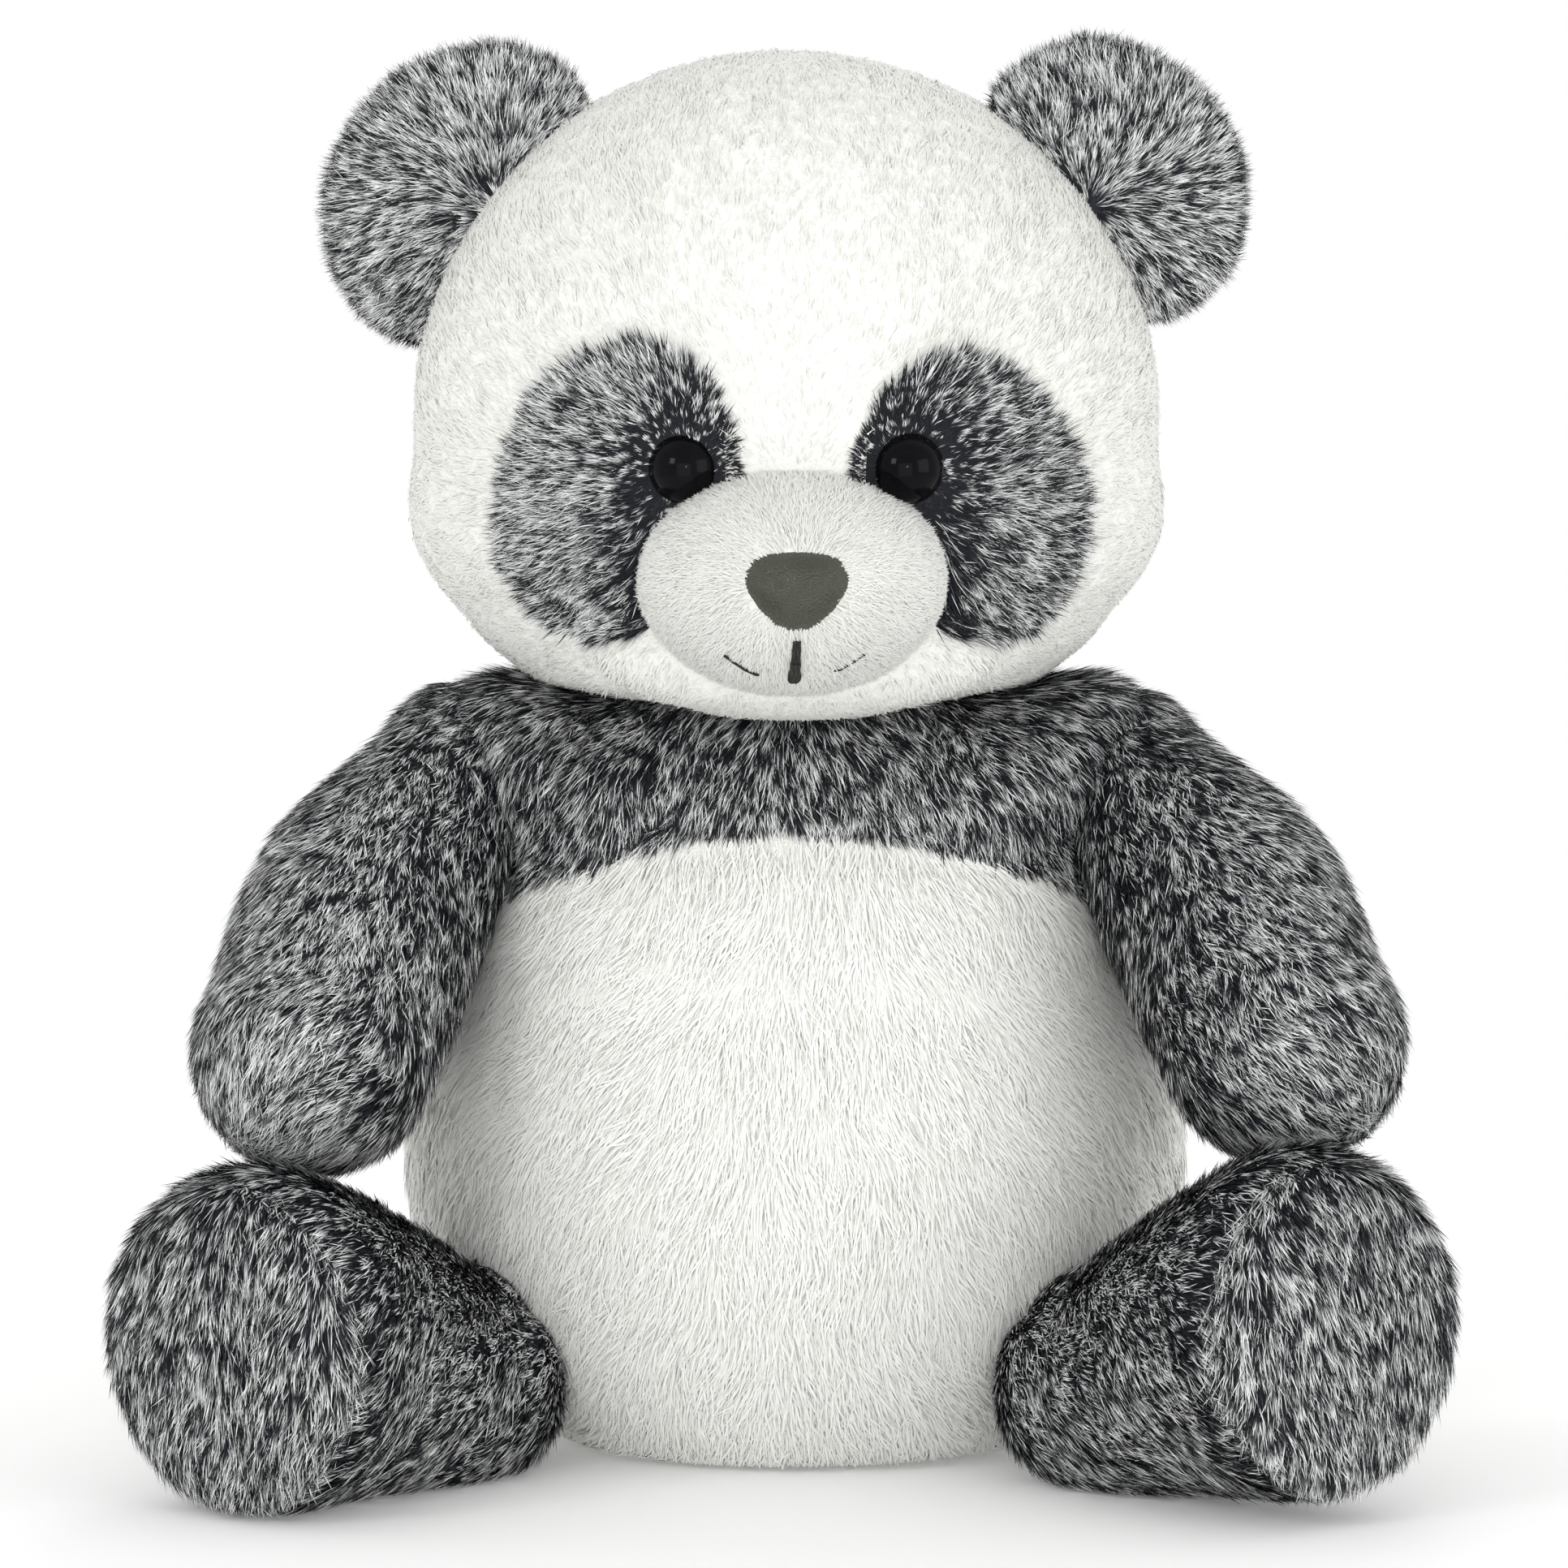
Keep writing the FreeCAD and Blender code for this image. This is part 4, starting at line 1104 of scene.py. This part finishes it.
def makeGloss(name, first, second, rough, sheen, grain=None):
    finish, tree, shader = newFinish(name)
    cloud = noiseAt(tree, 160)
    colour = mixColour(tree, smoothRange(tree, cloud, 0.3, 0.7), first, second)
    tree.links.new(colour, shader.inputs["Base Color"])
    tree.links.new(smoothRange(tree, cloud, 0.2, 0.8, rough[0], rough[1]), shader.inputs["Roughness"])
    shader.inputs["Specular IOR Level"].default_value = sheen
    if grain:
        pebble = tree.nodes.new("ShaderNodeTexVoronoi")
        pebble.inputs["Scale"].default_value = grain[0]
        objectPlace(tree, pebble)
        bump = addBump(tree, pebble.outputs["Distance"], 0.0002)
        bump.invert = True
        bump.inputs["Strength"].default_value = grain[1]
    return finish


def makeThread(name, first, second):
    finish, tree, shader = newFinish(name)
    plies = tree.nodes.new("ShaderNodeTexWave")
    plies.bands_direction = "DIAGONAL"
    plies.inputs["Scale"].default_value = 900
    plies.inputs["Distortion"].default_value = 1.5
    objectPlace(tree, plies)
    tree.links.new(mixColour(tree, plies.outputs["Fac"], first, second), shader.inputs["Base Color"])
    addBump(tree, plies.outputs["Fac"], 0.0002)
    shader.inputs["Roughness"].default_value = 0.7
    return finish


mouldings = {                      # two colours, roughness from and to, gloss, and grain scale and strength
    "eyeGloss": ((0.002, 0.002, 0.003, 1), (0.004, 0.004, 0.005, 1), (0.08, 0.13), 0.085),
    "noseMoulding": ((0.030, 0.034, 0.018, 1), (0.042, 0.046, 0.028, 1), (0.26, 0.36), 0.6, (2600, 0.8)),
    "washerMoulding": ((0.72, 0.72, 0.69, 1), (0.8, 0.8, 0.78, 1), (0.4, 0.55), 0.5),
}
threads = {
    "darkThread": ((0.006, 0.008, 0.006, 1), (0.028, 0.032, 0.026, 1)),
    "whiteThread": ((0.72, 0.72, 0.68, 1), (0.88, 0.88, 0.85, 1)),
    "labelSatin": ((0.84, 0.84, 0.83, 1), (0.92, 0.92, 0.92, 1)),
}
finishes.update({name: makeGloss(name, *values) for name, values in mouldings.items()})
finishes.update({name: makeThread(name, *colours) for name, colours in threads.items()})


def meshPiece(name, bm):
    bmesh.ops.recalc_face_normals(bm, faces=bm.faces)
    piece = formFrom(name, bm)
    piece.data.shade_smooth()
    return piece


def bridge(bm, loops, closed=True):
    for here, there in zip(loops, loops[1:]):
        count = len(here)
        for n in range(count if closed else count - 1):
            m = (n + 1) % count
            bm.faces.new((here[n], here[m], there[m], there[n]))


eye = {"radius": 6.2, "sunk": 1.6, "rim": 0.35, "rings": 18}


def makeEye(side, sign):
    outward = Matrix.Rotation(math.radians(sign * face["eyeTurn"]), 4, "Z")
    forward = Matrix.Rotation(math.radians(-90), 4, "X")
    place = Matrix.Translation(Vector(face["eyes"][side])) @ outward @ forward
    radius, sunk, flange = eye["radius"], eye["sunk"], eye["radius"] + eye["rim"]
    rings = [(0, -3.4, 0, 0), (radius - 1.2, -3.4, 0, 0), (radius - 0.2, -2.9, 0, 0),
             (flange, -2.2, 0, 0), (flange, -1.9, 0, 0), (radius + 0.02, -sunk, 0, 0)]
    rings += [(radius * math.cos(turn) if turn < 1.57 else 0, -sunk + radius * math.sin(turn), 0, 0)
              for turn in np.linspace(0.08, math.pi / 2, eye["rings"])]
    bm = bmesh.new()
    addTurned(bm, rings, place, corners=48)
    dress(meshPiece(f"{side}_eye_dome", bm), "eyeGloss", "head", "eye_plastic", f"{side}_eye")


nose = {"corners": ((-4.2, 1.5), (-2.2, 1.85), (0, 1.95), (2.2, 1.85), (4.2, 1.5), (2.9, -0.5), (0.9, -2.3),
                    (-0.9, -2.3), (-2.9, -0.5)), "corner": 4.5, "depth": 5.6, "crown": 0.95, "rings": 20,
        "spokes": 72}


def outlineReach(point):
    corners = [Vector(corner) for corner in nose["corners"]]
    edges = list(zip(corners, corners[1:] + corners[:1]))
    gaps, inside = [], []
    for a, b in edges:
        span = b - a
        share = max(0, min(1, (point - a).dot(span) / span.length_squared))
        gaps.append((point - (a + share * span)).length)
        inside.append(span.cross(point - a) < 0)
    return -min(gaps) if all(inside) else min(gaps)


def noseOutline(turn):
    ray = Vector((math.cos(turn), math.sin(turn)))
    low, high = 0, 14
    for step in range(24):
        middle = (low + high) / 2
        if outlineReach(ray * middle) < nose["corner"]:
            low = middle
        else:
            high = middle
    return low


def makeNose():
    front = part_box("nose")[0].y / mm
    centre = Vector((0, front, face["nose"][2]))
    bm = bmesh.new()
    turns = [2 * math.pi * n / nose["spokes"] for n in range(nose["spokes"])]
    reach = [noseOutline(turn) for turn in turns]
    profile = []
    for share in np.linspace(0, math.pi / 2, nose["rings"])[1:]:
        across = math.sin(share) ** 0.9
        profile.append((across, nose["depth"] * (1 - math.sqrt(1 - nose["crown"] * across ** 2))))
    profile += [(1.0, nose["depth"] + 1), (0.86, nose["depth"] + 3.4)]
    rings = [[bm.verts.new((centre + Vector((across * far * math.cos(turn), back,
                                             across * far * math.sin(turn)))) * mm)
              for far, turn in zip(reach, turns)] for across, back in profile]
    tip = bm.verts.new(centre * mm)
    for n, vert in enumerate(rings[0]):
        bm.faces.new((tip, vert, rings[0][(n + 1) % len(turns)]))
    bridge(bm, rings)
    bm.faces.new(list(reversed(rings[-1])))
    dress(meshPiece("nose_button", bm), "noseMoulding", "head", "nose_plastic", "nose")


def addThread(bm, path, radii, corners=10):
    rings = []
    for n, place in enumerate(path):
        ahead = (path[min(n + 1, len(path) - 1)] - path[max(n - 1, 0)]).normalized()
        side = ahead.orthogonal().normalized()
        up = ahead.cross(side)
        ring = []
        for m in range(corners):
            turn = 2 * math.pi * m / corners
            ply = 1 + 0.12 * math.cos(2 * turn + n * 0.9)      # two plies wind round
            out = side * math.cos(turn) + up * math.sin(turn)
            ring.append(bm.verts.new((place + out * radii[n] * ply) * mm))
        rings.append(ring)
    bridge(bm, rings)
    bm.faces.new(rings[0][::-1])
    bm.faces.new(rings[-1])


muzzleTree = BVHTree.FromObject(skins["muzzle_skin"], bpy.context.evaluated_depsgraph_get())


def onMuzzle(x, z, proud):
    hit, normal, _, _ = muzzleTree.ray_cast(Vector((x, -200, z)) * mm, Vector((0, 1, 0)))
    return hit / mm + normal * proud


mouth = {
    "upright": ((0.1, 144.6), (0.0, 142.4), (-0.15, 140.2), (-0.3, 138.2)),
    "uprightRadii": (0.42, 0.48, 0.62, 0.86),
    "uprightProud": 0.9,
    "apart": 0.28,                 # two threads lie side by side
    "left": ((-11.6, 142.0), (-9.8, 140.7), (-7.8, 139.4), (-6.0, 138.8)),
    "right": ((6.2, 139.2), (7.8, 139.6), (9.8, 140.9), (11.2, 141.9)),
    "smileRadius": 0.24,
    "smileProud": {"left": 0.75, "right": 0.35},
}


def smoothPath(places, proud, steps=22):
    keys = np.linspace(0, 1, len(places))
    at = np.linspace(0, 1, steps)
    bend = [np.polyval(np.polyfit(keys, [place[axis] for place in places], 3), at) for axis in range(2)]
    return [onMuzzle(x, z, proud) for x, z in zip(*bend)]


def makeMouth():
    bm = bmesh.new()
    path = smoothPath(mouth["upright"], mouth["uprightProud"])
    radii = np.interp(np.linspace(0, 1, len(path)), np.linspace(0, 1, 4), mouth["uprightRadii"])
    for shift in (-mouth["apart"], mouth["apart"]):
        addThread(bm, [place + Vector((shift, 0, 0)) for place in path], radii)
    dress(meshPiece("mouth_thread", bm), "darkThread", "head", "dark_thread", "mouth_stitch")
    for side in sides:
        bm = bmesh.new()
        path = smoothPath(mouth[side], mouth["smileProud"][side])
        addThread(bm, path, [mouth["smileRadius"]] * len(path))
        smile = meshPiece(f"{side}_smile_thread", bm)
        dress(smile, "darkThread", "head", "dark_thread", f"{side}_smile_stitch")


closing = {"rows": 6, "low": 50.45, "pitch": 5, "reach": 3.6, "radius": 0.42, "slant": 0.12, "proud": 0.5,
           "dive": 0.9}


def backSurface(x, z, proud):
    deepest = 0
    for shape in trunkShapes:
        rest = 1 - (x / shape["radii"][0]) ** 2 - ((z - shape["centre"][2]) / shape["radii"][2]) ** 2
        deepest = max(deepest, shape["radii"][1] * math.sqrt(max(rest, 0)))
    return Vector((x, deepest + proud, z))


def makeClosing():
    bm = bmesh.new()
    for row in range(closing["rows"]):
        level = closing["low"] + row * closing["pitch"]
        path = [backSurface(x, level + closing["slant"] * x,
                            closing["proud"] - closing["dive"] * abs(x / closing["reach"]) ** 4)
                for x in np.linspace(-closing["reach"], closing["reach"], 17)]
        addThread(bm, path, [closing["radius"]] * len(path))
    dress(meshPiece("closing_thread", bm), "whiteThread", "torso", "white_thread", "closing_stitches")


label = {"gap": 0.5, "bulge": 1.1, "curl": 2.2, "tape": 0.25}


def makeLabel():
    low, high = (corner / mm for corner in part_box("care_label"))
    bm = bmesh.new()
    steps, rows = 16, 8
    x = (low.x + high.x) / 2
    grid = []
    for n in range(2 * steps + 1):
        share = n / steps if n <= steps else 2 - n / steps      # out to the fold and back
        turn = 1 if n > steps else -1
        gap = label["gap"] / 2 + label["bulge"] / 2 * math.sin(math.pi * share) * 0.6
        bend = label["curl"] * share ** 2
        y = low.y + (high.y - low.y) * share
        out = x + turn * gap * (n != steps) + bend
        grid.append([bm.verts.new(Vector((out, y, low.z + (high.z - low.z) * m / rows)) * mm)
                     for m in range(rows + 1)])
    bridge(bm, grid, closed=False)
    piece = meshPiece("label_tab", bm)
    solid = piece.modifiers.new("thickness", "SOLIDIFY")
    solid.thickness = label["tape"] * mm
    settle(piece)
    dress(piece, "labelSatin", "torso", "label_tape", "care_label")


for side, sign in sides.items():
    makeEye(side, sign)
makeNose()
makeMouth()
makeClosing()
makeLabel()
for node in ("left_eye_washer", "right_eye_washer", "nose_washer"):
    frame["nodes"][node].data.materials.clear()
    frame["nodes"][node].data.materials.append(finishes["washerMoulding"])
print("eyes, nose, stitches and label made")
